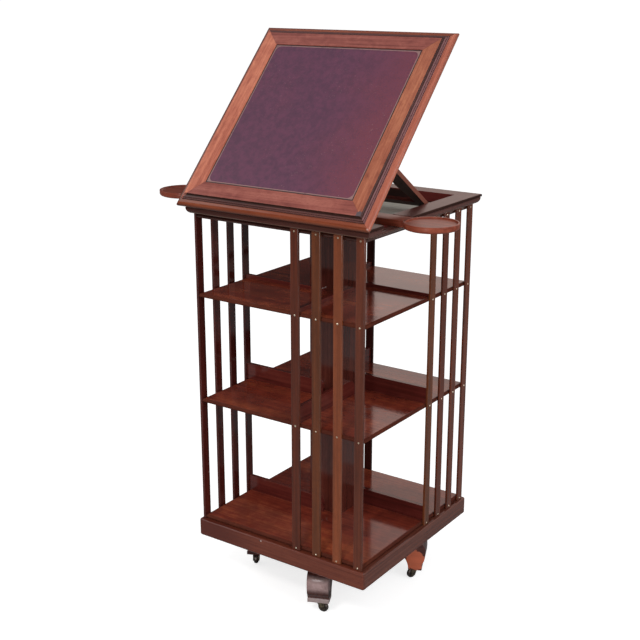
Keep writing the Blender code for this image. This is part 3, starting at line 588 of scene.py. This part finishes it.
# Its right multiplier greys the plinth's right side: a painted sheen
FRAME_WOOD = Wood(
    "frame_mahogany", (0.070, 0.014, 0.008), (0.128, 0.029, 0.016), (0.190, 0.048, 0.026),
    (0.17, 0.055, 0.036), wear=0.5, reach=0.0024, gloss=0.16, right=(0.85, 1.05, 1.20),
    scars=(NAIL_HEAD, NAIL_HOLE, PLINTH_PAINTED_SHADE))
# Darker than the case wood: painted shade from the slope's overhang
# The right multiplier lightens and greys the right side, painted light and sheen; the near-black rim is
# painted shade
CORNICE_WOOD = Wood(
    "cornice_mahogany", (0.040, 0.010, 0.007), (0.078, 0.020, 0.014), (0.120, 0.034, 0.023),
    (0.016, 0.010, 0.008), wear=0.1, gloss=0.28, shine=0.2, rim=0.2474, right=(1.10, 1.50, 1.75),
    scars=(BED_PAINTED_HIGHLIGHT, WELL_WALL_PAINTED_LIGHT, WELL_PAINTED_SHADOW))
# Darker than the other woods: painted shade from the slope above the strut
STRUT_WOOD = Wood(
    "strut_mahogany", (0.024, 0.006, 0.005), (0.048, 0.011, 0.009), (0.080, 0.019, 0.014),
    (0.20, 0.07, 0.05), wear=0.5, gloss=0.30, shine=0.1, scars=STRUT_PAINTED_LIT_SIDES)
# Its left and right multipliers lighten the side rails, most on the left: painted light
SLOPE_WOOD = Wood(
    "slope_mahogany", (0.160, 0.036, 0.026), (0.260, 0.068, 0.049), (0.345, 0.108, 0.077),
    (0.42, 0.19, 0.13), wear=0.35, figure=0.35, ribbon=0.40, left=(1.71, 1.85, 1.48),
    right=(1.29, 1.42, 0.98), scars=(SLOPE_CORNER_WEAR_AND_REFLECTION,))
# Its left multiplier darkens the left nosing, painted shade; its right one lightens and blues the right
# nosing, a painted sheen
NOSING_WOOD = Wood(
    "nosing_mahogany", (0.120, 0.026, 0.011), (0.200, 0.046, 0.020), (0.280, 0.078, 0.036),
    (0.36, 0.17, 0.11), wear=0.3, gloss=0.14, shine=0.3, figure=0.35, left=(0.55, 0.75, 0.95),
    right=(1.75, 2.10, 2.90), scars=(NOSING_PAINTED_SHADE, NOSING_MITRE_WEAR_AND_GLINT))
# Its left multiplier lightens the left fillets, painted light; its right one lightens and blues them, a
# painted sky reflection
FILLET_WOOD = Wood(
    "fillet_mahogany", (0.055, 0.018, 0.014), (0.095, 0.031, 0.024), (0.140, 0.048, 0.038),
    (0.30, 0.14, 0.11), wear=0.6, reach=0.0006, left=(2.8, 2.4, 2.0), right=(2.10, 2.80, 3.60))
# Its left multiplier lifts it on the left side, painted light, and its right one greys it blue, a painted
# reflection
# Near-black wood of the hollow, the risers and the nosing's underside: painted shade
PAINTED_SHADE_WOOD = Wood(
    "painted_shade_mahogany", (0.014, 0.004, 0.003), (0.026, 0.008, 0.005), (0.044, 0.014, 0.010),
    (0.20, 0.08, 0.06), wear=0.3, reach=0.0006, gloss=0.20, shine=0.2, left=(6.0, 6.0, 6.0),
    right=(2.4, 3.0, 4.0))
DARK_WOOD = Wood(
    "dark_mahogany", (0.042, 0.010, 0.007), (0.090, 0.020, 0.014), (0.140, 0.037, 0.025),
    (0.14, 0.06, 0.045), wear=0.5)
BASE_WOOD = Wood(
    "base_mahogany", (0.034, 0.012, 0.010), (0.068, 0.022, 0.018), (0.115, 0.040, 0.030),
    (0.26, 0.13, 0.095), wear=0.7, scars=(FOOT_CHIP, LIP_PAINTED_REFLECTION, FOOT_PAINTED_SHEEN))
# The dark and maroon tones, given to slats of the back and left faces, are painted shade inside the case
SLAT_TONES: dict[str, Colour] = {
    "red": (0.092, 0.018, 0.007), "olive": (0.122, 0.032, 0.010), "orange": (0.180, 0.045, 0.016),
    "brown": (0.118, 0.027, 0.012), "dark": (0.044, 0.010, 0.008), "shaded_maroon": (0.070, 0.012, 0.009),
}
HIDE = Hide()
BRASS = Metal("aged_brass", (0.90, 0.82, 0.66), (0.50, 0.40, 0.28), 0.28, spread=0.56)
HINGE_BRASS = Metal("hinge_brass", (0.55, 0.40, 0.19), (0.20, 0.13, 0.07), 0.32)
CASTOR_BRASS = Metal("castor_brass", (0.30, 0.25, 0.17), (0.10, 0.085, 0.07), 0.34)
STEEL = Metal("turned_steel", (0.42, 0.41, 0.40), (0.20, 0.18, 0.17), 0.32)
IRON = Metal("castor_iron", (0.16, 0.155, 0.15), (0.07, 0.055, 0.045), 0.38, spread=0.48)


class Part:
    """What every sub-assembly shares: making, placing and dressing pieces."""

    body = "case"

    @staticmethod
    def object_from(bm: WorkMesh, name: str, sharp: float = 32.0) -> bpy.types.Object:
        """Turn a working mesh into a shown piece.

        Args:
            bm: working mesh in the frame's metres.
            name: plain name of the piece.
            sharp: angle in degrees past which an edge stays crisp.

        Returns:
            The piece.
        """
        bmesh.ops.recalc_face_normals(bm, faces=bm.faces)
        for face in bm.faces:
            face.smooth = True
        for edge in bm.edges:
            edge.smooth = edge.calc_face_angle(0.0) < math.radians(sharp)
        mesh = bpy.data.meshes.new(name)
        bm.to_mesh(mesh)
        bm.free()
        piece = bpy.data.objects.new(name, mesh)
        bpy.context.scene.collection.objects.link(piece)
        return piece

    def settle(self, piece: bpy.types.Object, finishes: Sequence[Material], slot: str,
               *nodes: str, body: str = "") -> None:
        """Dress a piece and tie it to its body.

        Args:
            piece: the new piece.
            finishes: its materials.
            slot: not used.
            nodes: solids it stands for.
            body: body it rides on, if not the class's own.
        """
        for finish in finishes:
            piece.data.materials.append(finish)
        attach(piece, body or self.body)
        if nodes:
            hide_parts(*nodes)
        LOG.info("piece %s with %d faces", piece.name, len(piece.data.polygons))

    @staticmethod
    def dress(finish: Material, *nodes: str) -> None:
        """Give solids of the frame a finish.

        Args:
            finish: the material.
            nodes: names of the solids.
        """
        for node in nodes:
            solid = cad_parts[node]
            solid.data.materials.clear()
            solid.data.materials.append(finish)
            LOG.info("solid %s dressed with %s", node, finish.name)

    @staticmethod
    def picked(made: dict[str, list], kind: type) -> list:
        """The verts or the faces among what an operator made."""
        return [item for item in made["geom"] if isinstance(item, kind)]

    @staticmethod
    def ring(half: Point, section: Sequence[Point]) -> WorkMesh:
        """Run a section round a rectangle, with mitred corners and an open middle.

        Args:
            half: half sizes of the outer rectangle.
            section: inset and height of each step, all the way round the section.

        Returns:
            The working mesh, centred on the rectangle.
        """
        bm = bmesh.new()
        made = bmesh.ops.create_grid(bm, x_segments=1, y_segments=1, size=1.0)
        inset, height = section[0]
        bmesh.ops.scale(bm, vec=(half[0] - inset, half[1] - inset, 1.0), verts=made["verts"])
        bmesh.ops.translate(bm, vec=(0.0, 0.0, height), verts=made["verts"])
        first = bm.faces[:]
        top = first
        for step, level in section[1:]:
            made = bmesh.ops.extrude_face_region(bm, geom=top)
            corners = Part.picked(made, Vert)
            if top is not first:
                bmesh.ops.delete(bm, geom=top, context="FACES_ONLY")
            top = Part.picked(made, bmesh.types.BMFace)
            grow = ((half[0] - step) / (half[0] - inset), (half[1] - step) / (half[1] - inset), 1.0)
            bmesh.ops.scale(bm, vec=grow, verts=corners)
            bmesh.ops.translate(bm, vec=(0.0, 0.0, level - height), verts=corners)
            inset, height = step, level
        rims = [edge for face in (first + top) for edge in face.edges]
        bmesh.ops.delete(bm, geom=first + top, context="FACES_ONLY")
        bmesh.ops.bridge_loops(bm, edges=rims)
        return bm

    @staticmethod
    def bend(centre: Point, radius: Point, start: float, end: float, steps: int) -> list[Point]:
        """Points of a moulding's curve with two radii, in so many chords between two angles in degrees."""
        turns = [math.radians(start + (end - start) * i / steps) for i in range(steps + 1)]
        return [(centre[0] + radius[0] * math.cos(t), centre[1] + radius[1] * math.sin(t)) for t in turns]

    @staticmethod
    def turned(section: Sequence[Point], segments: int) -> WorkMesh:
        """Turn a section about the upright axis.

        Args:
            section: radius and height of each point.
            segments: steps of the full turn.

        Returns:
            The working mesh.
        """
        bm = bmesh.new()
        points = [bm.verts.new((radius, 0.0, height)) for radius, height in section]
        lines = [bm.edges.new(pair) for pair in zip(points, points[1:])]
        bmesh.ops.spin(bm, geom=points + lines, cent=(0.0, 0.0, 0.0), axis=(0.0, 0.0, 1.0),
                       angle=math.tau, steps=segments, use_merge=True)
        bmesh.ops.remove_doubles(bm, verts=bm.verts, dist=1e-6)
        return bm

    @staticmethod
    def block(bm: WorkMesh, low: Triple, high: Triple, ease: float) -> None:
        """Add a block with eased edges to a working mesh.

        Args:
            bm: the working mesh.
            low: lowest corner.
            high: highest corner.
            ease: radius of the edges.
        """
        made = bmesh.ops.create_cube(bm, size=1.0)["verts"]
        size = [b - a for a, b in zip(low, high)]
        middle = [(a + b) / 2.0 for a, b in zip(low, high)]
        bmesh.ops.scale(bm, vec=size, verts=made)
        bmesh.ops.translate(bm, vec=middle, verts=made)
        edges = list({edge for vert in made for edge in vert.link_edges})
        bmesh.ops.bevel(bm, geom=edges, offset=ease, segments=3, profile=0.5, affect="EDGES", material=-1)


class Moulding(IntEnum):
    """Woods of the slope's moulding, in the order of its slots."""

    RAIL = 0
    NOSING = 1
    FILLET = 2
    # The dark wood of the hollow, the risers and the nosing's underside: painted shade
    PAINTED_SHADE = 3


@dataclass
class Slope(Part):
    """Reading slope with its moulded frame, panel, hide and lugs."""

    half: Point = (0.2565, 0.2570)
    thick: float = 0.024
    border: float = 0.060
    nosing: Point = (0.0135, 0.0162)
    # Below this share of its height the nosing takes the dark wood: painted shade on its underside
    nosing_shade: float = 0.25
    fillet: Point = (0.0034, 0.0019)
    hollow: float = 0.0045
    ledge: Point = (0.008, 0.006)
    ease: float = 0.001
    arris: float = 0.0006
    left_moulding: float = 0.0190
    body: str = "slope"

    @property
    def steps_end(self) -> float:
        """Inset at which the two fillets end and the hollow begins."""
        return self.nosing[0] + self.ease + 2.0 * self.fillet[0]

    def draw_in_left(self, bm: WorkMesh, moulding: float) -> None:
        """Narrow the moulding of the left side and widen its rail to suit.

        Args:
            bm: the working mesh, centred on the slope.
            moulding: width of the moulding on the other sides.
        """
        for vert in bm.verts:
            inset = self.half[0] + vert.co.x
            if inset < moulding:
                vert.co.x = inset * self.left_moulding / moulding - self.half[0]
            elif inset < self.border:
                share = (inset - moulding) / (self.border - moulding)
                vert.co.x = self.left_moulding + share * (self.border - self.left_moulding) - self.half[0]

    def section(self) -> list[Point]:
        """Moulding of the frame as inset and height, from the ledge round to the ledge.

        Returns:
            The points of the section.
        """
        wide, high = self.nosing
        points = [(self.border + self.ledge[0], 0.0)]
        points += self.bend((wide, high / 2.0), (wide, high / 2.0), 270.0, 90.0, 16)
        inset, level = wide + self.ease, high
        points.append((inset, level))
        for _ in range(2):
            level += self.fillet[1]
            points.append((inset, level))
            inset += self.fillet[0]
            points.append((inset, level))
        rise = self.thick - level
        points += self.bend((inset, self.thick), (self.hollow, rise), -75.0, 0.0, 7)
        points += [(self.border - self.arris, self.thick), (self.border, self.thick - self.arris)]
        points += [(self.border, self.ledge[1]), (self.border + self.ledge[0], self.ledge[1])]
        return points

    def wood_of(self, face: bmesh.types.BMFace) -> Moulding:
        """Choose the wood of a face by its place in the section.

        Args:
            face: a face of the ring, centred on the slope.

        Returns:
            The wood it shows.
        """
        slack, level_normal = 0.0005, 0.7
        spot = face.calc_center_median()
        inset = min(self.half[0] - abs(spot.x), self.half[1] - abs(spot.y))
        wide, high = self.nosing
        # Faces under the nosing, on the risers and in the hollow take the dark wood: painted shade
        if inset < wide:
            return Moulding.NOSING if spot.z > self.nosing_shade * high else Moulding.PAINTED_SHADE
        if inset < self.steps_end and spot.z > high - slack:
            return Moulding.FILLET if abs(face.normal.z) > level_normal else Moulding.PAINTED_SHADE
        if inset < self.steps_end + self.hollow and spot.z > high:
            return Moulding.PAINTED_SHADE
        return Moulding.RAIL

    def build(self) -> None:
        """Build the moulded frame and dress the rest of the slope."""
        bm = self.ring(self.half, self.section())
        bm.normal_update()
        for face in bm.faces:
            face.material_index = self.wood_of(face)
        self.draw_in_left(bm, self.steps_end + self.hollow)
        bmesh.ops.transform(bm, matrix=SLOPE_CENTRE, verts=bm.verts)
        piece = self.object_from(bm, "slope_moulding", 24.0)
        woods = (SLOPE_WOOD, NOSING_WOOD, FILLET_WOOD, PAINTED_SHADE_WOOD)
        self.settle(piece, [wood.make(Lay.SLOPE_MITRED) for wood in woods], "slope_wood", "slope_frame")
        self.dress(HIDE.make(), "slope_leather")
        self.dress(CASE_WOOD.make(Lay.SLOPE_X), "slope_panel", "strut_lug_left", "strut_lug_right")


class Strut(Part):
    """Frame that props the slope up."""

    def build(self) -> None:
        """Dress the strut."""
        self.dress(STRUT_WOOD.make(Lay.STRUT), "strut")


@dataclass
class CandleSlide(Part):
    """Round tray on a sliding arm, with a stop under its inner end."""

    side: float
    centre: Point
    radius: float = 0.060
    rim: float = 0.004
    dish: float = 0.0035
    lip: float = 0.0016
    under_share: float = 0.42
    under_spread: float = 1.6
    low: float = 0.9380
    high: float = 0.9527
    arm_half: float = 0.023
    arm_end: float = 0.2043
    arm_ease: float = 0.0012
    stop: float = 0.015
    stop_low: float = 0.9301
    stop_lap: float = 0.003
    stop_ease: float = 0.0008
    segments: int = 72

    def section(self) -> list[Point]:
        """Section of the tray as radius and height, from under its middle to its dished top.

        Returns:
            The points of the section.
        """
        edge = self.under_share * (self.high - self.low)
        spread = self.under_spread * edge
        points = [(0.0, self.low), (self.radius - spread, self.low)]
        points += self.bend((self.radius - spread, self.low + edge), (spread, edge), -80.0, 0.0, 8)
        lip = (self.lip, self.lip)
        points += self.bend((self.radius - self.lip, self.high - self.lip), lip, 0.0, 90.0, 4)
        inner = self.radius - self.rim - self.dish
        points += self.bend((inner, self.high), (self.dish, self.dish), 0.0, -90.0, 6)
        points.append((0.0, self.high - self.dish))
        return points

    def build(self, finish: Material) -> None:
        """Build one tray with its arm and stop.

        Args:
            finish: wood of the slides.
        """
        name = "right" if self.side > 0.0 else "left"
        bm = self.turned(self.section(), self.segments)
        arm = (self.radius - 2.0 * self.rim, self.low, self.high, self.arm_ease)
        stop = (self.arm_end - self.stop, self.stop_low, self.low + self.stop_lap, self.stop_ease)
        for start, low, high, ease in (arm, stop):
            ends = sorted((-self.side * start, -self.side * self.arm_end))
            self.block(bm, (ends[0], -self.arm_half, low), (ends[1], self.arm_half, high), ease)
        bmesh.ops.translate(bm, vec=(*self.centre, 0.0), verts=bm.verts)
        piece = self.object_from(bm, "candle_tray_" + name, 28.0)
        self.settle(piece, [finish], "case_wood", "candle_slide_" + name, body=name + "_candle_slide")


@dataclass
class Base(Part):
    """Crossed beams with scroll feet, spindle and castors."""

    width: float = 0.052
    top: float = 0.117
    depth: float = 0.032
    reach: float = 0.232
    foot: float = 0.042
    sole: float = 0.030
    bulge: float = 0.040
    bulge_share: float = 0.59
    curl_share: float = 0.37
    waist: float = 0.0085
    lip: float = 0.0105
    lip_drop: float = 0.0030
    lip_round: float = 0.0024
    toe_round: float = 0.0012
    crease: float = 0.0025
    ease: float = 0.0020
    crisp: float = 0.01
    gap: float = 0.0003
    body: str = "base"

    def half_outline(self) -> list[Point]:
        """Side outline of one end of a beam, from its top to its underside.

        Returns:
            The points of the outline.
        """
        front, back = self.reach, self.reach - self.foot
        tall = self.top - self.sole
        widest = self.sole + self.bulge_share * tall
        toe = front - self.waist
        points = self.bend((front - self.bulge, widest), (self.bulge, self.top - widest), 90.0, 0.0, 18)
        points += self.bend((toe, widest), (self.waist, self.curl_share * tall), -10.0, -78.0, 9)
        lip = self.sole + self.lip
        points.append((toe - self.crease, lip))
        bead, small = self.lip_round, self.toe_round
        points += self.bend((toe - bead, lip - self.lip_drop), (bead, bead), 80.0, 0.0, 4)
        points += self.bend((toe - small, self.sole + small), (small, small), 0.0, -90.0, 3)
        points.append((back, self.sole))
        rise = self.top - self.depth - self.sole
        points += self.bend((back - rise, self.sole), (rise, rise), 12.0, 90.0, 14)
        return points

    def beam(self, name: str, turn: float, lap_on_top: bool, finish: Material) -> None:
        """Build one beam, halved over the other.

        Args:
            name: name of the solid it stands for.
            turn: heading of the beam in radians.
            lap_on_top: whether the lap is cut in the top.
            finish: wood of the base.
        """
        lap = self.width / 2.0 + self.gap
        under = self.top - self.depth
        middle = (self.top + under) / 2.0
        right = self.half_outline()
        left = [(-a, b) for a, b in reversed(right)]
        if lap_on_top:
            level = middle - self.gap / 2.0
            outline = [(-lap, self.top), (-lap, level), (lap, level), (lap, self.top)] + right + left
        else:
            level = middle + self.gap / 2.0
            outline = right + [(lap, under), (lap, level), (-lap, level), (-lap, under)] + left
        bm = bmesh.new()
        face = bm.faces.new([bm.verts.new((a, -self.width / 2.0, b)) for a, b in outline])
        made = bmesh.ops.extrude_face_region(bm, geom=[face])
        bmesh.ops.translate(bm, vec=(0.0, self.width, 0.0), verts=self.picked(made, Vert))
        rims = [edge for edge in bm.edges if abs(edge.verts[0].co.y - edge.verts[1].co.y) < 1e-6
                and max(abs(vert.co.x) for vert in edge.verts) > lap + self.crisp]
        rims.sort(key=lambda edge: edge.verts[0].co.y)
        bmesh.ops.bevel(bm, geom=rims, offset=self.ease, segments=3, profile=0.5,
                        affect="EDGES", material=-1, clamp_overlap=True)
        bmesh.ops.transform(bm, matrix=spun(turn, "Z"), verts=bm.verts)
        piece = self.object_from(bm, name.replace("base_beam", "scroll_beam"), 30.0)
        self.settle(piece, [finish], "dark_wood", name)

    def build(self) -> None:
        """Build the beams and dress the spindle and castors."""
        self.beam("base_beam_front_back", BASE_TURN - QUARTER, True, BASE_WOOD.make(Lay.BEAM_FRONT))
        self.beam("base_beam_left_right", BASE_TURN, False, BASE_WOOD.make(Lay.BEAM_SIDE))
        self.dress(STEEL.make(), "spindle")
        self.dress(IRON.make(), *["castor_wheel_%d" % n for n in range(1, 5)])
        self.dress(CASTOR_BRASS.make(), *["castor_fork_%d" % n for n in range(1, 5)])


@dataclass
class Case(Part):
    """Plinth, boards, slats, rails, column and cornice, with the hinges and the brass screws of the slats."""

    slat_places: tuple[float, ...] = (0.219, 0.1626, 0.1062, 0.0498)
    slat_face: float = 0.2345
    slat_shares: Point = (0.55, 1.45)
    # Lift of the slats' arris tone: a painted sheen
    slat_edge_sheen: float = 0.07
    screw_levels: tuple[float, ...] = (0.1751, 0.4783, 0.7376, 0.9245)
    screw_radius: float = 0.0023
    screw_taper: float = 0.72
    screw_proud: float = 0.0006
    screw_sunk: float = 0.0001
    screw_turn: float = 1.7
    groove_half: float = 0.00032
    groove_depth: float = 0.0003
    cornice_half: float = 0.2477
    cornice_round: Point = (0.0110, 0.0077)
    bed_inset: float = 0.0131
    bed_height: float = 0.0060
    bed_lap: Point = (0.0004, 0.0003)
    notch: Point = (-0.1910, -0.0780)

    def bed_sections(self) -> tuple[list[Point], list[Point]]:
        """Quarter round under the cornice as inset and height, over the tops of the slats.

        Returns:
            The section that fits round the cornice's own round, and the part of it under the notches.
        """
        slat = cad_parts["slat_a_1"]
        top = max((slat.matrix_world @ Vector(spot)).z for spot in slat.bound_box)
        wide, high = self.cornice_round
        centre = (self.bed_inset, top + high)
        outer = self.bend(centre, (wide, high + self.bed_height), 270.0, 180.0, 8)
        inner = self.bend(centre, (wide - self.bed_lap[0], high - self.bed_lap[1]), 180.0, 270.0, 6)
        low = [point for point in outer if point[1] < top]
        return outer + inner, low + [(low[-1][0], top), (self.bed_inset, top)]

    def bed_length(self, bm: WorkMesh, section: Sequence[Point], turn: float, ends: Point) -> None:
        """Run a section along one side, with a mitre where an end is the corner.

        Args:
            bm: the working mesh.
            section: inset and height of each point.
            turn: quarter turns from the front to this side.
            ends: where the length starts and stops along the side.
        """
        spin = spun(turn * QUARTER, "Z")
        rows = []
        for end in ends:
            mitre = math.copysign(1.0, end) if abs(end) == self.cornice_half else 0.0
            spots = [(end - mitre * inset, inset - self.cornice_half, height) for inset, height in section]
            rows.append([spin @ Vector(spot) for spot in spots])
        face = bm.faces.new([bm.verts.new(spot) for spot in rows[0]])
        made = bmesh.ops.extrude_face_region(bm, geom=[face], use_keep_orig=True)
        for vert in self.picked(made, Vert):
            vert.co = min(zip(*rows), key=lambda pair: (pair[0] - vert.co).length)[1]

    def bed_moulding(self, finish: Material) -> None:
        """Plant the bed moulding under the cornice.

        Args:
            finish: the cornice's own material.
        """
        whole, low = self.bed_sections()
        corner, (near, far) = self.cornice_half, self.notch
        bm = bmesh.new()
        for turn in (0.0, 2.0):
            self.bed_length(bm, whole, turn, (-corner, corner))
        for turn, stops in ((1.0, (-corner, near, far, corner)), (3.0, (-corner, -far, -near, corner))):
            for section, ends in ((whole, stops[:2]), (low, stops[1:3]), (whole, stops[2:])):
                self.bed_length(bm, section, turn, ends)
        self.settle(self.object_from(bm, "bed_moulding", 40.0), [finish], "case_wood")

    def screw(self) -> bpy.types.Mesh:
        """One slotted screw head, facing up at the origin.

        Returns:
            The mesh of the head.
        """
        bm = bmesh.new()
        bmesh.ops.create_cone(bm, cap_ends=True, segments=14, radius1=self.screw_radius,
                              radius2=self.screw_taper * self.screw_radius, depth=self.screw_proud)
        for place in (-self.groove_half, self.groove_half):
            whole = bm.verts[:] + bm.edges[:] + bm.faces[:]
            bmesh.ops.bisect_plane(bm, geom=whole, plane_co=(0.0, place, 0.0), plane_no=(0.0, 1.0, 0.0))
        groove = [face for face in bm.faces
                  if face.normal.z > 0.9 and abs(face.calc_center_median().y) < self.groove_half / 2.0]
        made = bmesh.ops.extrude_face_region(bm, geom=groove)
        sunk = self.picked(made, Vert)
        bmesh.ops.translate(bm, vec=(0.0, 0.0, -self.groove_depth), verts=sunk)
        bmesh.ops.delete(bm, geom=groove, context="FACES_ONLY")
        mesh = bpy.data.meshes.new("screw_pattern")
        bm.to_mesh(mesh)
        bm.free()
        return mesh

    def screws(self) -> None:
        """Set four screws in every slat, through it into the ends of the boards."""
        pattern = self.screw()
        bm = bmesh.new()
        out = spun(QUARTER, "X")
        front = -self.slat_face - self.screw_proud / 2.0 + self.screw_sunk
        places = product(range(4), self.slat_places, self.screw_levels)
        for count, (face, across, level) in enumerate(places, 1):
            spot = Matrix.Translation((across, front, level))
            matrix = spun(face * QUARTER, "Z") @ spot @ out @ spun(self.screw_turn * count, "Z")
            start = len(bm.verts)
            bm.from_mesh(pattern)
            bm.verts.ensure_lookup_table()
            bmesh.ops.transform(bm, matrix=matrix, verts=bm.verts[start:])
        bpy.data.meshes.remove(pattern)
        piece = self.object_from(bm, "slat_screws", 40.0)
        self.settle(piece, [BRASS.make()], "brass")

    def slats(self) -> None:
        """Dress the slats of the four faces, each in its own tone."""
        # The back and left faces take the dark and maroon tones: painted shade
        tones = {"a": ("brown", "orange", "olive", "red"), "b": ("brown", "brown", "red", "olive"),
                 "c": ("dark", "red", "brown", "dark"), "d": ("shaded_maroon",) * 4}
        for tone, mid in SLAT_TONES.items():
            dark, light = [tuple(share * c for c in mid) for share in self.slat_shares]
            # The lighter tone on the slats' arrises is a painted sheen on their rounded edges
            worn = tuple(c + self.slat_edge_sheen for c in dark)
            wood = Wood("slat_" + tone, dark, mid, light, worn, wear=0.8, reach=0.0042)
            self.dress(wood.make(Lay.ALONG_Z), *["slat_%s_%d" % (face, n) for face, row in tones.items()
                                                 for n, kind in enumerate(row, 1) if kind == tone])

    def build(self) -> None:
        """Dress the solids of the case and add its bed moulding and screws."""
        self.slats()
        self.dress(WELL_WOOD.make(Lay.ALONG_X), "top_board")
        self.dress(CASE_WOOD.make(Lay.ALONG_X), "bottom_board", "middle_board", "upper_board")
        rails = [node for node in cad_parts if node.startswith("rail_")]
        for lay, faces in ((Lay.ALONG_X, "ac"), (Lay.ALONG_Y, "bd")):
            self.dress(RAIL_WOOD.make(lay), *[rail for rail in rails if rail[-1] in faces])
        self.dress(FRAME_WOOD.make(Lay.MITRED), "plinth")
        cornice = CORNICE_WOOD.make(Lay.MITRED)
        self.dress(cornice, "top_frame")
        self.bed_moulding(cornice)
        self.dress(DARK_WOOD.make(Lay.ALONG_Z), "column")
        self.dress(DARK_WOOD.make(Lay.ALONG_Y), "ratchet_strip_left", "ratchet_strip_right")
        hinges = [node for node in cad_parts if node.startswith("hinge_")]
        self.dress(HINGE_BRASS.make(), "spindle_bush", *hinges)
        self.screws()


@dataclass(frozen=True)
class Lamp:
    """A soft square lamp, its size in metres and its power in watts."""

    name: str
    place: Triple
    aim: Triple
    size: float
    power: float
    colour: Colour

    def hang(self) -> None:
        """Hang the lamp where the camera doesn't see it, turned to its aim."""
        data = bpy.data.lights.new(self.name, "AREA")
        data.size = self.size
        data.energy = self.power
        data.color = self.colour
        lamp = bpy.data.objects.new(self.name, data)
        lamp.location = self.place
        lamp.visible_camera = False
        lamp.rotation_euler = (Vector(self.aim) - Vector(self.place)).to_track_quat("-Z", "Y").to_euler()
        bpy.context.scene.collection.objects.link(lamp)


LAMPS = (
    Lamp("soft_front", (0.49, -3.1, 3.35), (0.0, 0.0, 0.6), 0.5, 44.0, (1.0, 0.99, 0.97)),
    Lamp("soft_low", (0.78, -3.1, 0.62), (0.0, 0.0, 0.5), 0.8, 9.0, (1.0, 0.99, 0.99)),
    Lamp("soft_left", (-3.2, -1.4, 2.6), (0.0, 0.0, 0.7), 2.2, 26.0, (1.0, 0.98, 0.95)),
    Lamp("soft_side", (2.8, -0.6, 2.2), (0.0, 0.0, 0.6), 2.2, 40.0, (0.96, 0.98, 1.0)),
)


@dataclass
class Studio:
    """Floor, soft light and camera."""

    eye: Triple = (1.4509, -2.1463, 1.4406)
    pitch: float = 73.245
    heading: float = 34.89
    lens: float = 63.88
    sensor: float = 36.0
    flag: Triple = (-0.996, -0.085, 0.0)
    flag_edge: Point = (0.470, 0.490)
    flag_tone: Colour = (0.03, 0.03, 0.03)
    wall_tone: Colour = (1.0, 0.80, 0.73)
    ceiling_edge: Point = (0.45, 0.65)
    ceiling_tone: Colour = (0.38, 0.42, 0.48)
    key: Triple = (0.45, -0.86, 0.24)
    key_edge: Point = (-0.7, 0.7)
    back_tone: Colour = (0.42, 0.42, 0.42)
    key_tone: Colour = (0.56, 0.56, 0.56)
    floor_half: float = 160.0
    floor_tone: Colour = (0.60, 0.60, 0.60)
    floor_gloss: Colour = (0.32, 0.32, 0.32)
    floor_glow: float = 0.74

    def camera(self) -> None:
        """Stand the camera where the photograph was taken from."""
        data = bpy.data.cameras.new("photo_camera")
        data.lens = self.lens
        data.sensor_width = self.sensor
        camera = bpy.data.objects.new("photo_camera", data)
        camera.location = self.eye
        camera.rotation_euler = (math.radians(self.pitch), 0.0, math.radians(self.heading))
        bpy.context.scene.collection.objects.link(camera)
        bpy.context.scene.camera = camera

    def world(self) -> None:
        """White surround for the eye, soft light for the rest, a pale wall and a dark flag for the gloss."""
        bench = Bench("studio", world=True)
        bpy.context.scene.world = bench.material
        path = bench.node("LightPath", {}).outputs
        way = bench.coordinates("Generated")
        x, y, z = bench.split(way)
        level = bench.vector("NORMALIZE", bench.join(x, y, 0.0))
        dark = bench.band(bench.vector("DOT_PRODUCT", level, self.flag, "Value"), *self.flag_edge)
        wall = bench.mix(dark, self.wall_tone, self.flag_tone)
        gloss = bench.mix(bench.band(z, *self.ceiling_edge), wall, self.ceiling_tone)
        front = bench.band(bench.vector("DOT_PRODUCT", way, self.key, "Value"), *self.key_edge)
        soft = bench.mix(front, self.back_tone, self.key_tone)
        lit = bench.mix(path["Is Glossy Ray"], soft, gloss)
        clear = bench.math("MAXIMUM", path["Is Camera Ray"], path["Is Transmission Ray"])
        bench.feed(bench.shader, {"Color": bench.mix(clear, lit, (1.0, 1.0, 1.0))})

    def floor(self) -> None:
        """Lay a plain pale floor that keeps the shadow."""
        bm = bmesh.new()
        bmesh.ops.create_grid(bm, x_segments=1, y_segments=1, size=self.floor_half)
        floor = Part.object_from(bm, "studio_floor")
        bench = Bench("pale_floor")
        path = bench.node("LightPath", {}).outputs
        tone = bench.mix(path["Is Glossy Ray"], self.floor_tone, self.floor_gloss)
        glow = bench.times(path["Is Camera Ray"], self.floor_glow)
        bench.feed(bench.shader, {"Base Color": tone, "Roughness": 0.9, "Specular IOR Level": 0.0,
                                  "Emission Color": (1.0, 1.0, 1.0, 1.0), "Emission Strength": glow})
        floor.data.materials.append(bench.material)

    def build(self) -> None:
        """Set up the camera, the light and the floor."""
        bpy.context.scene.view_settings.view_transform = "Standard"
        self.camera()
        self.world()
        self.floor()
        for lamp in LAMPS:
            lamp.hang()


def main() -> None:
    """Build the studio and dress the bookcase, sub-assembly by sub-assembly."""
    logging.basicConfig(level=logging.INFO, format="%(name)s: %(message)s")
    Studio().build()
    Case().build()
    Base().build()
    Slope().build()
    Strut().build()
    tray = TRAY_WOOD.make(Lay.ALONG_X)
    CandleSlide(side=1.0, centre=(0.309, -0.102)).build(tray)
    CandleSlide(side=-1.0, centre=(-0.374, -0.102)).build(tray)


if __name__ == "__main__":
    main()
